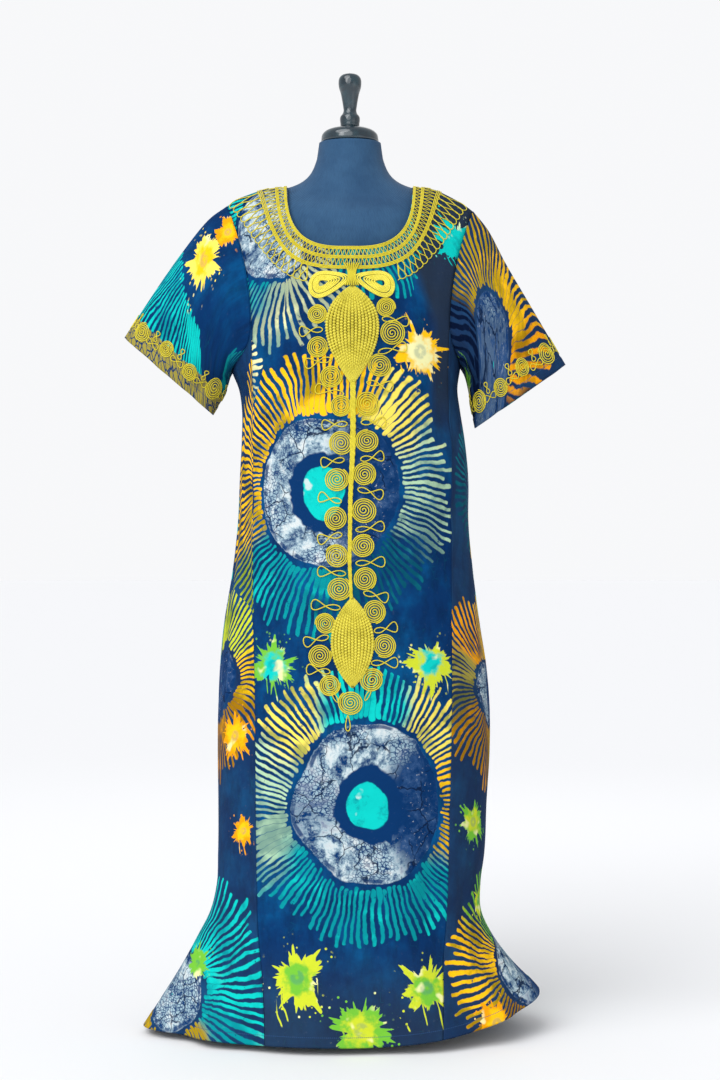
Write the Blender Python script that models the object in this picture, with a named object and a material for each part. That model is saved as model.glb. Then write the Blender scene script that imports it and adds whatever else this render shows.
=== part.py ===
"""Loose maxi dress with kimono-like sleeves, on the limbless dress form that holds it up.

Metres, +Z up, the front faces -Y, +X is the viewer's right. "Left" and "right" are the viewer's.
The origin is the middle of the base plate's underside. The cloth is a wall WALL thick. The front is
a centre panel and two gores, the back is one panel, and each sleeve is one tube. Column numbers
run across a face: -2 and 2 are the side seams, -1 and 1 the seams between panel and gores.
"""
import math

import bpy
import numpy as np
from mathutils.bvhtree import BVHTree

WALL = 0.0015
SEAM = 0.0003
SLEEVE_SEAM = 0.0006
LIFT = 0.0007
BAND_LIFT = 0.0014
TRIM = 0.0014

HEM_HEIGHT = 0.012
HEM_RISE = 0.050
HEM_RISE_POWER = 2.2
HEM_HALF_WIDTH = 0.335

GORE_TOP = 1.1765
UNDERARM_LEFT = 1.1136
UNDERARM_RIGHT = 1.1204
NECK_HALF_WIDTH = 0.107
SHOULDER_TIP = 0.209
SHOULDER_ARC = 2.4

FRONT_NECK_DROP = 0.480
BACK_NECK_DROP = 0.100
BAND_WIDTH = 0.028
BAND_DROP = 0.140

NECK_SLANT = 0.050
NECK_SLANT_POWER = 0.6
# How far down the neckline's drop its points lie, from the shoulder to the middle.
NECK_STEPS = (0.0, 0.06, 0.163, 0.342, 0.566, 0.78, 0.90, 0.965, 0.992, 1.0)
BAND_STEPS = (
    0.0, 0.010, 0.030, 0.06, 0.105, 0.163, 0.25, 0.342, 0.45, 0.566, 0.68, 0.78, 0.86, 0.92, 0.965,
    0.990, 1.0,
)

BODY_ROWS = 19
YOKE_ROWS = 10
SHOULDER_COLUMNS = 4
GORE_COLUMNS = 4

# Half-widths, depths and panel seams of the body, from hem to chest.
BODY_COLUMNS = ("height", "left", "right", "front", "back", "seam_left", "seam_right")
BODY = (
    (0.000, 0.3520, 0.3520, 0.203, 0.203, 0.137, 0.150),
    (0.060, 0.3145, 0.3245, 0.196, 0.195, 0.140, 0.152),
    (0.120, 0.2775, 0.2690, 0.189, 0.187, 0.144, 0.155),
    (0.160, 0.2560, 0.2405, 0.185, 0.182, 0.147, 0.157),
    (0.200, 0.2355, 0.2225, 0.181, 0.178, 0.149, 0.159),
    (0.245, 0.2245, 0.2215, 0.178, 0.174, 0.151, 0.161),
    (0.300, 0.2225, 0.2290, 0.175, 0.170, 0.153, 0.163),
    (0.386, 0.2227, 0.2329, 0.172, 0.165, 0.155, 0.165),
    (0.468, 0.2244, 0.2375, 0.170, 0.161, 0.157, 0.167),
    (0.529, 0.2244, 0.2380, 0.168, 0.158, 0.158, 0.168),
    (0.610, 0.2210, 0.2329, 0.166, 0.155, 0.159, 0.169),
    (0.692, 0.2125, 0.2210, 0.163, 0.151, 0.160, 0.170),
    (0.774, 0.1989, 0.2108, 0.160, 0.147, 0.161, 0.170),
    (0.855, 0.1904, 0.2023, 0.157, 0.142, 0.162, 0.170),
    (0.937, 0.1870, 0.2006, 0.155, 0.136, 0.162, 0.170),
    (1.000, 0.1838, 0.1938, 0.153, 0.131, 0.162, 0.169),
    (1.050, 0.1836, 0.1862, 0.151, 0.126, 0.162, 0.167),
    (1.085, 0.1890, 0.1825, 0.150, 0.122, 0.163, 0.166),
    (1.114, 0.2006, 0.1865, 0.149, 0.119, 0.163, 0.166),
    (1.1765, 0.2060, 0.2000, 0.148, 0.116, 0.164, 0.167),
)

# The shoulder line: its height over the distance from the middle, on each side.
SHOULDER_COLUMNS_OF = ("out", "left", "right")
SHOULDER = (
    (0.000, 1.4320, 1.4320),
    (0.085, 1.4290, 1.4290),
    (0.107, 1.4262, 1.4262),
    (0.140, 1.4230, 1.4225),
    (0.173, 1.4130, 1.4080),
    (0.192, 1.4055, 1.3975),
    (0.209, 1.3940, 1.3855),
)

# Soft flutes of the skirt: where round the body (degrees from the front middle, + to the right),
# how wide, how far out they stand at the hem, and the height where they start.
FLUTE_COLUMNS = ("angle", "spread", "out", "start")
FLUTES = (
    (-76.0, 9.0, 0.010, 0.42),
    (-56.0, 8.0, -0.013, 0.40),
    (60.0, 8.0, -0.010, 0.36),
    (75.0, 8.0, 0.007, 0.34),
    (112.0, 10.0, -0.012, 0.44),
    (135.0, 11.0, 0.012, 0.52),
    (160.0, 11.0, -0.011, 0.48),
    (184.0, 11.0, 0.010, 0.56),
    (207.0, 11.0, -0.012, 0.50),
    (232.0, 11.0, 0.011, 0.46),
    (254.0, 9.0, -0.010, 0.40),
)

# Sleeve rings from the armhole (0) to the cuff (1): upper edge, under edge, half-depth.
SLEEVE_COLUMNS = ("along", "top_out", "top_height", "under_out", "under_height", "half_depth")
SLEEVE_LEFT = (
    (0.00, 0.2090, 1.3940, 0.2006, 1.1136, 0.080),
    (0.20, 0.2400, 1.3710, 0.2040, 1.1030, 0.086),
    (0.45, 0.2870, 1.3130, 0.2085, 1.0870, 0.082),
    (0.70, 0.3330, 1.2480, 0.2160, 1.0690, 0.067),
    (1.00, 0.3825, 1.1714, 0.2329, 1.0405, 0.046),
)
SLEEVE_RIGHT = (
    (0.00, 0.2090, 1.3855, 0.1900, 1.1204, 0.080),
    (0.20, 0.2340, 1.3540, 0.1960, 1.1060, 0.086),
    (0.45, 0.2650, 1.2960, 0.2005, 1.0850, 0.082),
    (0.70, 0.3080, 1.2240, 0.2050, 1.0560, 0.067),
    (1.00, 0.3655, 1.1255, 0.2125, 1.0180, 0.046),
)
SLEEVE_RINGS = (0.0, 0.07, 0.17, 0.30, 0.45, 0.60, 0.76, 0.90, 1.0)

# Flat sections of the dress form: neck above the shoulders, torso below them.
FORM_COLUMNS = ("height", "half_width", "front", "back")
FORM_NECK = (
    (1.5017, 0.0525, 0.049, 0.049),
    (1.4900, 0.0540, 0.050, 0.050),
    (1.4700, 0.0570, 0.053, 0.052),
    (1.4536, 0.0604, 0.056, 0.054),
    (1.4434, 0.0655, 0.059, 0.056),
    (1.4350, 0.0725, 0.062, 0.058),
)
# Rings of the form's shoulders in plan; their heights follow the cloth's inside.
FORM_PLAN_COLUMNS = ("half_width", "front", "back", "below_cloth")
FORM_SHOULDERS = (
    (0.086, 0.068, 0.061, 0.0006),
    (0.107, 0.077, 0.066, 0.0006),
    (0.118, 0.081, 0.068, 0.0006),
    (0.135, 0.087, 0.072, 0.0016),
    (0.160, 0.096, 0.078, 0.0028),
    (0.178, 0.102, 0.082, 0.0042),
)
FORM_TORSO = (
    (1.372, 0.185, 0.101, 0.078),
    (1.345, 0.188, 0.109, 0.084),
    (1.300, 0.184, 0.119, 0.091),
    (1.245, 0.178, 0.127, 0.093),
    (1.185, 0.170, 0.133, 0.094),
    (1.135, 0.163, 0.133, 0.093),
    (1.080, 0.152, 0.123, 0.090),
    (1.020, 0.138, 0.110, 0.086),
    (0.970, 0.131, 0.104, 0.085),
    (0.915, 0.137, 0.107, 0.092),
    (0.860, 0.149, 0.114, 0.103),
    (0.805, 0.157, 0.118, 0.110),
    (0.760, 0.156, 0.117, 0.109),
    (0.736, 0.146, 0.109, 0.101),
)
FORM_SIDES = 32
# The form carries the cloth on its shoulder ridge and sinks away from it in front and behind.
RIDGE_SINK = 0.0024
RIDGE_WIDTH = 0.012
FORM_SLOPE = 0.095

# Turned pieces: radius and height, from the underside up.
NECK_CAP = (
    (0.0460, 1.5020), (0.0484, 1.5042), (0.0486, 1.5100), (0.0476, 1.5155),
    (0.0440, 1.5205), (0.0380, 1.5243), (0.0290, 1.5268), (0.0180, 1.5280),
)
FINIAL = (
    (0.0142, 1.5283), (0.0160, 1.5310), (0.0162, 1.5350), (0.0170, 1.5410), (0.0165, 1.5470),
    (0.0125, 1.5525), (0.0112, 1.5560), (0.0120, 1.5660), (0.0138, 1.5770), (0.0158, 1.5870),
    (0.0186, 1.5960), (0.0196, 1.6050), (0.0186, 1.6120), (0.0150, 1.6170), (0.0080, 1.6200),
)
POLE = ((0.0125, 0.0343), (0.0125, 0.7357))
BASE = (
    (0.1390, 0.0000), (0.1400, 0.0012), (0.1400, 0.0120), (0.1380, 0.0150), (0.1320, 0.0165),
    (0.0330, 0.0190), (0.0290, 0.0220), (0.0270, 0.0320), (0.0250, 0.0340),
)
TURNED_SIDES = 28

# Raised embroidery on the front: middle, half-width, half-height, and where it is widest.
OVAL_COLUMNS = ("across", "height", "half_width", "half_height", "widest")
UPPER_OVAL = (0.0045, 1.1621, 0.0424, 0.0825, 0.015)
LOWER_OVAL = (0.0047, 0.6616, 0.0334, 0.0744, 0.000)
BOW_LEFT = (-0.0386, 1.2460, 0.0270, 0.0245, 0.000)
BOW_RIGHT = (0.0455, 1.2470, 0.0270, 0.0240, 0.000)
# The stem: height, middle and half-width.
STEM = (
    (0.7345, 0.0027, 0.0022), (0.7916, 0.0000, 0.0026), (0.8996, 0.0015, 0.0032),
    (0.9810, 0.0055, 0.0038), (1.0300, 0.0058, 0.0040), (1.0812, 0.0054, 0.0040),
)

CLOTH_BLUE = (0.012, 0.035, 0.130)
CLOTH_SLATE = (0.040, 0.065, 0.120)
CLOTH_TURQUOISE = (0.020, 0.300, 0.380)
THREAD_YELLOW = (0.800, 0.600, 0.100)
JERSEY_BLUE = (0.030, 0.110, 0.240)
LACQUER = (0.010, 0.040, 0.070)
METAL_GREY = (0.220, 0.230, 0.240)


def smooth(table, columns, name, at):
    """A column of a table as a smooth curve over the table's first column."""
    rows = np.array(table, float)
    rows = rows[np.argsort(rows[:, 0])]
    xs = rows[:, 0]
    ys = rows[:, columns.index(name)]
    slopes = np.gradient(ys, xs)
    at = np.clip(np.asarray(at, float), xs[0], xs[-1])
    cell = np.clip(np.searchsorted(xs, at) - 1, 0, len(xs) - 2)
    width = xs[cell + 1] - xs[cell]
    u = (at - xs[cell]) / width
    return (
        ys[cell] * (2 * u**3 - 3 * u**2 + 1)
        + ys[cell + 1] * (3 * u**2 - 2 * u**3)
        + slopes[cell] * width * (u**3 - 2 * u**2 + u)
        + slopes[cell + 1] * width * (u**3 - u**2)
    )


def by_side(left, right, column):
    return np.where(column < 0, left, right)


def body_value(name_left, name_right, column, height):
    left = smooth(BODY, BODY_COLUMNS, name_left, height)
    right = smooth(BODY, BODY_COLUMNS, name_right, height)
    return by_side(left, right, column)


def angle_of(column, height):
    """Angle round the body of a column, 0 at the middle and a quarter turn at the side seam."""
    seam = body_value("seam_left", "seam_right", column, height)
    wide = body_value("left", "right", column, height)
    at_seam = np.arcsin(seam / wide)
    near = np.arcsin(np.minimum(np.abs(column), 1.0) * seam / wide)
    far = at_seam + (np.abs(column) - 1.0) * (math.pi / 2 - at_seam)
    return np.sign(column) * np.where(np.abs(column) <= 1.0, near, far)


def flute(degrees, height):
    """How far out the skirt's soft flutes carry the cloth."""
    total = np.zeros(np.broadcast(degrees, height).shape)
    for angle, spread, out, start in FLUTES:
        turn = (degrees - angle + 180.0) % 360.0 - 180.0
        drop = np.clip((start - height) / start, 0.0, 1.0)
        total = total + out * np.exp(-((turn / spread) ** 2)) * drop**1.4
    return total


def section_point(column, height, face):
    """A point of the body below the armholes. face is -1 for the front and 1 for the back."""
    angle = angle_of(column, height)
    wide = body_value("left", "right", column, height)
    deep = smooth(BODY, BODY_COLUMNS, "front" if face < 0 else "back", height)
    degrees = np.degrees(angle)
    if face > 0:
        degrees = 180.0 - degrees
    out = flute(degrees, height)
    x = (wide + out) * np.sin(angle)
    y = face * (deep + out) * np.cos(angle)
    return np.stack(np.broadcast_arrays(x, y, height), axis=-1)


def hem_height(column):
    level = np.full(np.shape(column), HEM_HEIGHT)
    out = section_point(column, level, -1)[..., 0]
    part = np.maximum(out, 0.0) / HEM_HALF_WIDTH
    return HEM_HEIGHT + HEM_RISE * part**HEM_RISE_POWER


def panel_top(column):
    """Top of the lower rows: level across the panel, then down the armhole to the underarm."""
    level = np.full(np.shape(column), GORE_TOP)
    seam_angle = angle_of(np.sign(column) * 1.0, level)
    ratio = np.cos(angle_of(column, level)) / np.cos(seam_angle)
    dip = np.sqrt(np.clip(1.0 - np.minimum(ratio, 1.0) ** 2, 0.0, 1.0))
    underarm = by_side(UNDERARM_LEFT, UNDERARM_RIGHT, column)
    dip = np.where(np.abs(column) <= 1.01, 0.0, dip)
    return GORE_TOP - (GORE_TOP - underarm) * dip


def low_point(column, rise, face):
    """rise runs from 0 at the hem to 1 at the panel's top."""
    hem = hem_height(column)
    height = hem + (panel_top(column) - hem) * rise
    return section_point(column, height, face)


def yoke_point(column, climb, face):
    """The chest or upper back. climb runs from 0 at the gore's top to 1 at the shoulder line."""
    level = np.full(np.shape(column), GORE_TOP)
    seam = body_value("seam_left", "seam_right", column, level)
    wide = body_value("left", "right", column, level)
    deep = smooth(BODY, BODY_COLUMNS, "front" if face < 0 else "back", level)
    foot = np.abs(column) * seam
    side = np.clip((foot - NECK_HALF_WIDTH) / (seam - NECK_HALF_WIDTH), 0.0, 1.0)
    spread = (SHOULDER_TIP - seam) * side**2
    line_left = smooth(SHOULDER, SHOULDER_COLUMNS_OF, "left", foot + spread)
    line_right = smooth(SHOULDER, SHOULDER_COLUMNS_OF, "right", foot + spread)
    line = by_side(line_left, line_right, column)
    depth = deep * np.sqrt(1.0 - (foot / wide) ** 2)
    lean = np.clip(1.0 - climb**SHOULDER_ARC, 0.0, 1.0) ** (1.0 / SHOULDER_ARC)
    x = np.sign(column) * (foot + spread * climb**2)
    y = face * depth * lean
    z = GORE_TOP + (line - GORE_TOP) * climb
    return np.stack(np.broadcast_arrays(x, y, z), axis=-1)


def neck_width(drop):
    """Half-width of the neckline, as a share, at a share of its drop: a squarish, slanted U."""
    return (1.0 - NECK_SLANT * drop**NECK_SLANT_POWER) * np.cbrt(1.0 - drop**3)


def neck_cut(column, face):
    """Where a column ends: at the neckline inside the neck, else at the shoulder line."""
    level = np.full(np.shape(column), GORE_TOP)
    seam = body_value("seam_left", "seam_right", column, level)
    part = np.minimum(np.abs(column) * seam / NECK_HALF_WIDTH, 1.0)
    tries = np.linspace(1.0, 0.0, 4001) ** 2
    drop = np.interp(part, neck_width(tries), tries)
    return 1.0 - drop * (FRONT_NECK_DROP if face < 0 else BACK_NECK_DROP)


def climb_rows(column, share, face):
    """Even steps along the shoulder's arc, up to where the column ends."""
    end = np.arcsin(np.clip(neck_cut(column, face), 0.0, 1.0) ** (SHOULDER_ARC / 2))
    return np.sin(share * end) ** (2 / SHOULDER_ARC)


def centre_columns():
    """Column numbers across the top of the centre panel, close together at the neck's corners."""
    in_neck = NECK_HALF_WIDTH * neck_width(np.array(NECK_STEPS[::-1]))
    sides = []
    for name in ("seam_left", "seam_right"):
        seam = float(smooth(BODY, BODY_COLUMNS, name, GORE_TOP))
        outer = np.linspace(NECK_HALF_WIDTH, seam, SHOULDER_COLUMNS + 1)[1:]
        sides.append(np.concatenate([in_neck, outer]) / seam)
    return np.concatenate([-sides[0][:0:-1], sides[1]])


def grid_normals(points):
    """Normals of a grid of points from its neighbours along rows and columns."""
    down = np.gradient(points, axis=0)
    across = np.gradient(points, axis=1)
    normal = np.cross(across, down)
    return normal / np.linalg.norm(normal, axis=2, keepdims=True)


def unit(vectors):
    return vectors / np.linalg.norm(vectors, axis=-1, keepdims=True)


def low_normal(column, height, face):
    """Outward normals of the body below the armholes."""
    around = section_point(column + 0.01, height, face) - section_point(column - 0.01, height, face)
    up = section_point(column, height + 0.002, face) - section_point(column, height - 0.002, face)
    points = section_point(column, height, face)
    return outward(unit(np.cross(around, up)), points)


def yoke_normal(column, climb, face):
    """Outward normals of the chest or upper back, straight over the ridge at the shoulder line."""
    around = yoke_point(column + 0.004, climb, face) - yoke_point(column - 0.004, climb, face)
    top = np.minimum(climb + 0.004, 1.0)
    up = yoke_point(column, top, face) - yoke_point(column, climb - 0.004, face)
    normal = np.cross(around, up)
    normal[..., 1] = np.where(climb > 0.9999, 0.0, normal[..., 1])
    return outward(unit(normal), yoke_point(column, climb, face))


def corner_normal(sign, face):
    return low_normal(np.array(float(sign)), np.array(GORE_TOP), face)


def panel_rows(columns, face):
    """Points and normals of the rows from the hem up, evenly spaced across the panel at the hem."""
    rise = np.linspace(0.0, 1.0, BODY_ROWS + 1)[:, None]
    even = columns.copy()
    inside = np.abs(columns) <= 1.0
    even[inside] = np.linspace(-1.0, 1.0, int(np.sum(inside)))
    across = even + (columns - even) * np.clip(rise * 1.25, 0.0, 1.0) ** 2
    hem = hem_height(across)
    height = hem + (panel_top(across) - hem) * rise
    return section_point(across, height, face), low_normal(across, height, face)


def yoke_rows(columns, face):
    """Points and normals of the rows above the gore's top."""
    share = np.linspace(0.0, 1.0, YOKE_ROWS + 1)[1:, None]
    climb = climb_rows(columns[None, :], share, face)
    across = np.broadcast_to(columns, climb.shape)
    return yoke_point(across, climb, face), yoke_normal(across, climb, face)


def armhole_ring(sign):
    """Armhole from shoulder tip down the front, under the arm and up the back."""
    share = np.linspace(1.0, 0.0, YOKE_ROWS + 1)
    seam_column = np.full(share.shape, float(sign))
    low = sign * np.linspace(1.0, 2.0, GORE_COLUMNS + 1)
    parts = []
    for face in (-1, 1):
        upper = yoke_point(seam_column, climb_rows(seam_column, share, face), face)
        lower = low_point(low, np.ones(low.shape), face)
        half = np.concatenate([upper, lower[1:]])
        parts.append(half if face < 0 else half[::-1][1:-1])
    ring = np.concatenate(parts)
    flat = ring[:, 1:]
    along = np.roll(flat, -1, axis=0) - np.roll(flat, 1, axis=0)
    inward = np.stack([-along[:, 1], along[:, 0]], axis=1)
    inward = inward / np.linalg.norm(inward, axis=1, keepdims=True)
    middle = flat.mean(axis=0)
    facing = np.sign(np.sum(inward * (middle - flat), axis=1, keepdims=True))
    inward = inward * facing
    inward[YOKE_ROWS + GORE_COLUMNS] = (0.0, 1.0)
    low_share = np.clip((GORE_TOP - ring[:, 2]) / (GORE_TOP - UNDERARM_LEFT), 0.0, 1.0)
    length = WALL * (1.0 + 1.0 * low_share**3)
    turn_in = np.zeros(ring.shape)
    turn_in[:, 1:] = inward
    # Beside the gore's corner the rim stands square on the body, so that three pieces meet there.
    corner = np.exp(-(((ring[:, 2] - GORE_TOP) / 0.05) ** 2))[:, None]
    square = np.where(ring[:, 1:2] < 0, corner_normal(sign, -1), corner_normal(sign, 1))
    offset = unit(turn_in * (1.0 - corner) - square * corner) * length[:, None]
    return ring, offset


def new_material(name, colour, rough, metallic=0.0):
    material = bpy.data.materials.new(name)
    material.use_nodes = True
    shader = material.node_tree.nodes["Principled BSDF"]
    shader.inputs["Base Color"].default_value = (*colour, 1.0)
    shader.inputs["Roughness"].default_value = rough
    shader.inputs["Metallic"].default_value = metallic
    return material


def signed_volume(points, faces):
    """Above zero where the faces point outwards."""
    total = 0.0
    for face in faces:
        first = points[face[0]]
        for b, c in zip(face[1:-1], face[2:]):
            total += float(np.dot(first, np.cross(points[b], points[c])))
    return total / 6


def make_object(name, points, faces, material):
    if signed_volume(points, faces) < 0:
        faces = [tuple(reversed(face)) for face in faces]
    mesh = bpy.data.meshes.new(name)
    mesh.from_pydata([tuple(map(float, p)) for p in points], [], faces)
    mesh.polygons.foreach_set("use_smooth", [True] * len(faces))
    mesh.materials.append(material)
    mesh.validate()
    obj = bpy.data.objects.new(name, mesh)
    bpy.context.scene.collection.objects.link(obj)
    return obj


def wall_solid(name, outer, inner, kept, material, closed=False):
    """A solid between two grids of points, with rims along each open edge of the kept cells."""
    rows, cols = outer.shape[:2]
    count = rows * cols
    faces = []
    edges = {}
    for i in range(rows - 1):
        for j in range(cols if closed else cols - 1):
            if not kept[i, j]:
                continue
            k = (j + 1) % cols
            quad = [i * cols + j, i * cols + k, (i + 1) * cols + k, (i + 1) * cols + j]
            faces.append(quad)
            faces.append([p + count for p in reversed(quad)])
            for a, b in zip(quad, quad[1:] + quad[:1]):
                edges[(a, b)] = True
    for a, b in edges:
        if (b, a) not in edges:
            faces.append([b, a, a + count, b + count])
    points = np.concatenate([outer.reshape(-1, 3), inner.reshape(-1, 3)])
    used = sorted({p for face in faces for p in face})
    index = {p: n for n, p in enumerate(used)}
    faces = [tuple(index[p] for p in face) for face in faces]
    return make_object(name, points[used], faces, material)


def round_normals(points):
    """Grid normals where the last column meets the first."""
    wide = np.concatenate([points[:, -2:], points, points[:, :2]], axis=1)
    return grid_normals(wide)[:, 2:-2]


def centre_panel(ring_left, ring_right, material):
    columns = centre_columns()
    low, low_out = panel_rows(columns, -1)
    high, high_out = yoke_rows(columns, -1)
    outer = np.concatenate([low, high])
    inner = outer - WALL * np.concatenate([low_out, high_out])
    rows = slice(BODY_ROWS, BODY_ROWS + YOKE_ROWS + 1)
    inner[rows, 0] = outer[rows, 0] + ring_left[1][: YOKE_ROWS + 1][::-1]
    inner[rows, -1] = outer[rows, -1] + ring_right[1][: YOKE_ROWS + 1][::-1]
    outer, inner = outer.copy(), inner.copy()
    for grid in (outer, inner):
        grid[..., 1] -= SEAM / 2
    kept = np.ones((outer.shape[0] - 1, outer.shape[1] - 1), bool)
    return wall_solid("front_panel", outer, inner, kept, material)


def outward(normal, points):
    """The same normals, each set pointing away from the dress's middle axis."""
    axis = np.zeros(points.shape)
    axis[..., 2] = np.minimum(points[..., 2], 1.20)
    flip = np.sign(np.sum(normal * (points - axis), axis=-1, keepdims=True))
    return normal * np.where(flip == 0, 1.0, flip)


def gore(name, sign, ring, material):
    step = SEAM / 0.085
    numbers = np.linspace(1.0, 2.0, GORE_COLUMNS + 1)
    numbers[0] += step
    outer, out = panel_rows(sign * numbers, -1)
    inner = outer - WALL * out
    inner[-1] = outer[-1] + ring[1][YOKE_ROWS : YOKE_ROWS + GORE_COLUMNS + 1]
    for grid in (outer, inner):
        grid[..., 1] -= SEAM / 2
    kept = np.ones((outer.shape[0] - 1, outer.shape[1] - 1), bool)
    return wall_solid(name, outer, inner, kept, material)


def back_panel(ring_left, ring_right, material):
    centre = centre_columns()
    left = -np.linspace(2.0, 1.0, GORE_COLUMNS + 1)[:-1]
    right = np.linspace(1.0, 2.0, GORE_COLUMNS + 1)[1:]
    columns = np.concatenate([left, centre, right])
    low, low_out = panel_rows(columns, 1)
    high, high_out = yoke_rows(centre, 1)
    inside = slice(GORE_COLUMNS, GORE_COLUMNS + len(centre))
    outer = np.zeros((BODY_ROWS + YOKE_ROWS + 1, len(columns), 3))
    inner = outer.copy()
    outer[: BODY_ROWS + 1] = low
    inner[: BODY_ROWS + 1] = low - WALL * low_out
    outer[BODY_ROWS + 1 :, inside] = high
    inner[BODY_ROWS + 1 :, inside] = high - WALL * high_out
    last = inside.stop - 1
    size = YOKE_ROWS + GORE_COLUMNS
    for ring, edge, walk in ((ring_left, inside.start, -1), (ring_right, last, 1)):
        back = np.concatenate([ring[1][:1], ring[1][: size - 1 : -1]])
        back = back[: size + 1]
        rows = slice(BODY_ROWS, BODY_ROWS + YOKE_ROWS + 1)
        inner[rows, edge] = outer[rows, edge] + back[: YOKE_ROWS + 1][::-1]
        for step in range(1, GORE_COLUMNS + 1):
            column = edge + walk * step
            inner[BODY_ROWS, column] = outer[BODY_ROWS, column] + back[YOKE_ROWS + step]
    for grid in (outer, inner):
        grid[..., 1] += SEAM / 2
    kept = np.zeros((outer.shape[0] - 1, outer.shape[1] - 1), bool)
    kept[:BODY_ROWS] = True
    kept[BODY_ROWS:, inside.start : last] = True
    return wall_solid("back_panel", outer, inner, kept, material)


def sleeve(name, sign, ring, table, material):
    """A tube lofted from the armhole to the cuff, whose ovals stand on the table's edges."""
    hole, offset = ring
    rings = []
    first = None
    for along in SLEEVE_RINGS:
        top = np.array([sign * value(table, "top_out", along), 0.0, value(table, "top_height", along)])
        under = np.array(
            [sign * value(table, "under_out", along), 0.0, value(table, "under_height", along)]
        )
        middle = (top + under) / 2
        major = (top - under) / 2
        deep = np.array([0.0, value(table, "half_depth", along), 0.0])
        if first is None:
            lift = (hole - middle) @ major / (major @ major)
            turn = np.arctan2(hole[:, 1] / deep[1], lift)
        oval = middle + np.cos(turn)[:, None] * major + np.sin(turn)[:, None] * deep
        if first is None:
            first = hole - oval
        rings.append(oval + (1.0 - along) ** 3 * first)
    outer = np.array(rings)
    normal = round_normals(outer)
    middle = outer.mean(axis=1, keepdims=True)
    flip = np.sign(np.sum(normal * (outer - middle), axis=2, keepdims=True))
    inner = outer - WALL * normal * flip
    inner[0] = outer[0] + offset
    for grid in (outer, inner):
        grid[..., 0] += sign * SLEEVE_SEAM
    kept = np.ones((outer.shape[0] - 1, outer.shape[1]), bool)
    return wall_solid(name, outer, inner, kept, material, closed=True)


def value(table, name, along):
    return float(smooth(table, SLEEVE_COLUMNS, name, along))


def surface_of(obj):
    """The faces of an object, ready to be searched for the nearest point."""
    corners = [v.co.copy() for v in obj.data.vertices]
    return BVHTree.FromPolygons(corners, [tuple(p.vertices) for p in obj.data.polygons])


def lying_on(name, panel, points, normal, material, lift=LIFT):
    """A thin solid whose points are a panel's own faces' points, moved out along the normals."""
    flat = (points + 0.004 * normal).reshape(-1, 3)
    seats = [panel.find_nearest(tuple(map(float, place)))[0] for place in flat]
    seats = np.array([tuple(seat) for seat in seats]).reshape(points.shape)
    low = seats + lift * normal
    high = seats + (lift + TRIM) * normal
    kept = np.ones((points.shape[0] - 1, points.shape[1] - 1), bool)
    return wall_solid(name, high, low, kept, material)


def neck_band(name, panel, face, material):
    """A raised band round half of the neckline, from one shoulder line to the other."""
    steps = np.array(BAND_STEPS)
    side = np.concatenate([-np.ones(len(steps)), np.ones(len(steps) - 1)])
    steps = np.concatenate([steps, steps[-2::-1]])
    across = np.linspace(0.06, 1.0, 4)[:, None]
    drop = FRONT_NECK_DROP if face < 0 else BACK_NECK_DROP
    wide = NECK_HALF_WIDTH + BAND_WIDTH * across
    foot = wide * side * neck_width(steps)
    climb = 1.0 - (drop + BAND_DROP * across) * steps
    level = np.full(foot.shape, GORE_TOP)
    seam = body_value("seam_left", "seam_right", foot, level)
    points = yoke_point(foot / seam, climb, face)
    normal = yoke_normal(foot / seam, climb, face)
    points[..., 1] += face * SEAM / 2
    return lying_on(name, panel, points, normal, material, BAND_LIFT)


def front_point(x, z):
    """The front's outer surface over a place near the middle, seen from the front."""
    wide_low = body_value("left", "right", x, z)
    deep = smooth(BODY, BODY_COLUMNS, "front", z)
    low = deep * np.sqrt(1.0 - (x / wide_low) ** 2)
    level = np.full(np.shape(x), GORE_TOP)
    wide = body_value("left", "right", x, level)
    line = smooth(SHOULDER, SHOULDER_COLUMNS_OF, "left", np.abs(x))
    climb = np.clip((z - GORE_TOP) / (line - GORE_TOP), 0.0, 1.0)
    chest = smooth(BODY, BODY_COLUMNS, "front", level) * np.sqrt(1.0 - (x / wide) ** 2)
    high = chest * (1.0 - climb**SHOULDER_ARC) ** (1 / SHOULDER_ARC)
    return np.stack([x, -np.where(z < GORE_TOP, low, high) - SEAM / 2, z], axis=-1)


def lying_on_front(name, panel, x, z, material):
    """A thin solid on the front: a grid of places moved out along the front's normals."""
    step = 0.002
    points = front_point(x, z)
    dx = front_point(x + step, z) - front_point(x - step, z)
    dz = front_point(x, z + step) - front_point(x, z - step)
    normal = np.cross(dx, dz)
    normal = -np.sign(normal[..., 1:2]) * unit(normal)
    return lying_on(name, panel, points, normal, material)


def pointed_oval(name, panel, sizes, material):
    """A leaf shape: rows from tip to tip, each as wide as the leaf is there."""
    across, height, half_width, half_height, widest = sizes
    share = np.linspace(-0.97, 0.97, 15)
    bend = share - widest / half_height * (1.0 - share**2)
    wide = half_width * np.clip(1.0 - bend**2, 0.0, 1.0) ** 0.95
    columns = np.linspace(-1.0, 1.0, 7)
    x = across + wide[:, None] * columns[None, :]
    z = np.broadcast_to((height + half_height * share)[:, None], x.shape)
    return lying_on_front(name, panel, x, z, material)


def bow_loop(name, panel, sizes, sign, material):
    """A drop shape lying on its side, its point at the bow's middle."""
    across, height, half_width, half_height, _ = sizes
    share = np.linspace(-0.97, 0.97, 10)
    tall = half_height * (1.0 - share**2) ** 0.5 * (1.0 + 0.35 * share) / 1.1
    rows = np.linspace(-1.0, 1.0, 5)
    x = np.broadcast_to(across + sign * half_width * share[None, :], (5, 10)).copy()
    z = height - 0.005 * share[None, :] + tall[None, :] * rows[:, None]
    return lying_on_front(name, panel, x, z, material)


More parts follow.
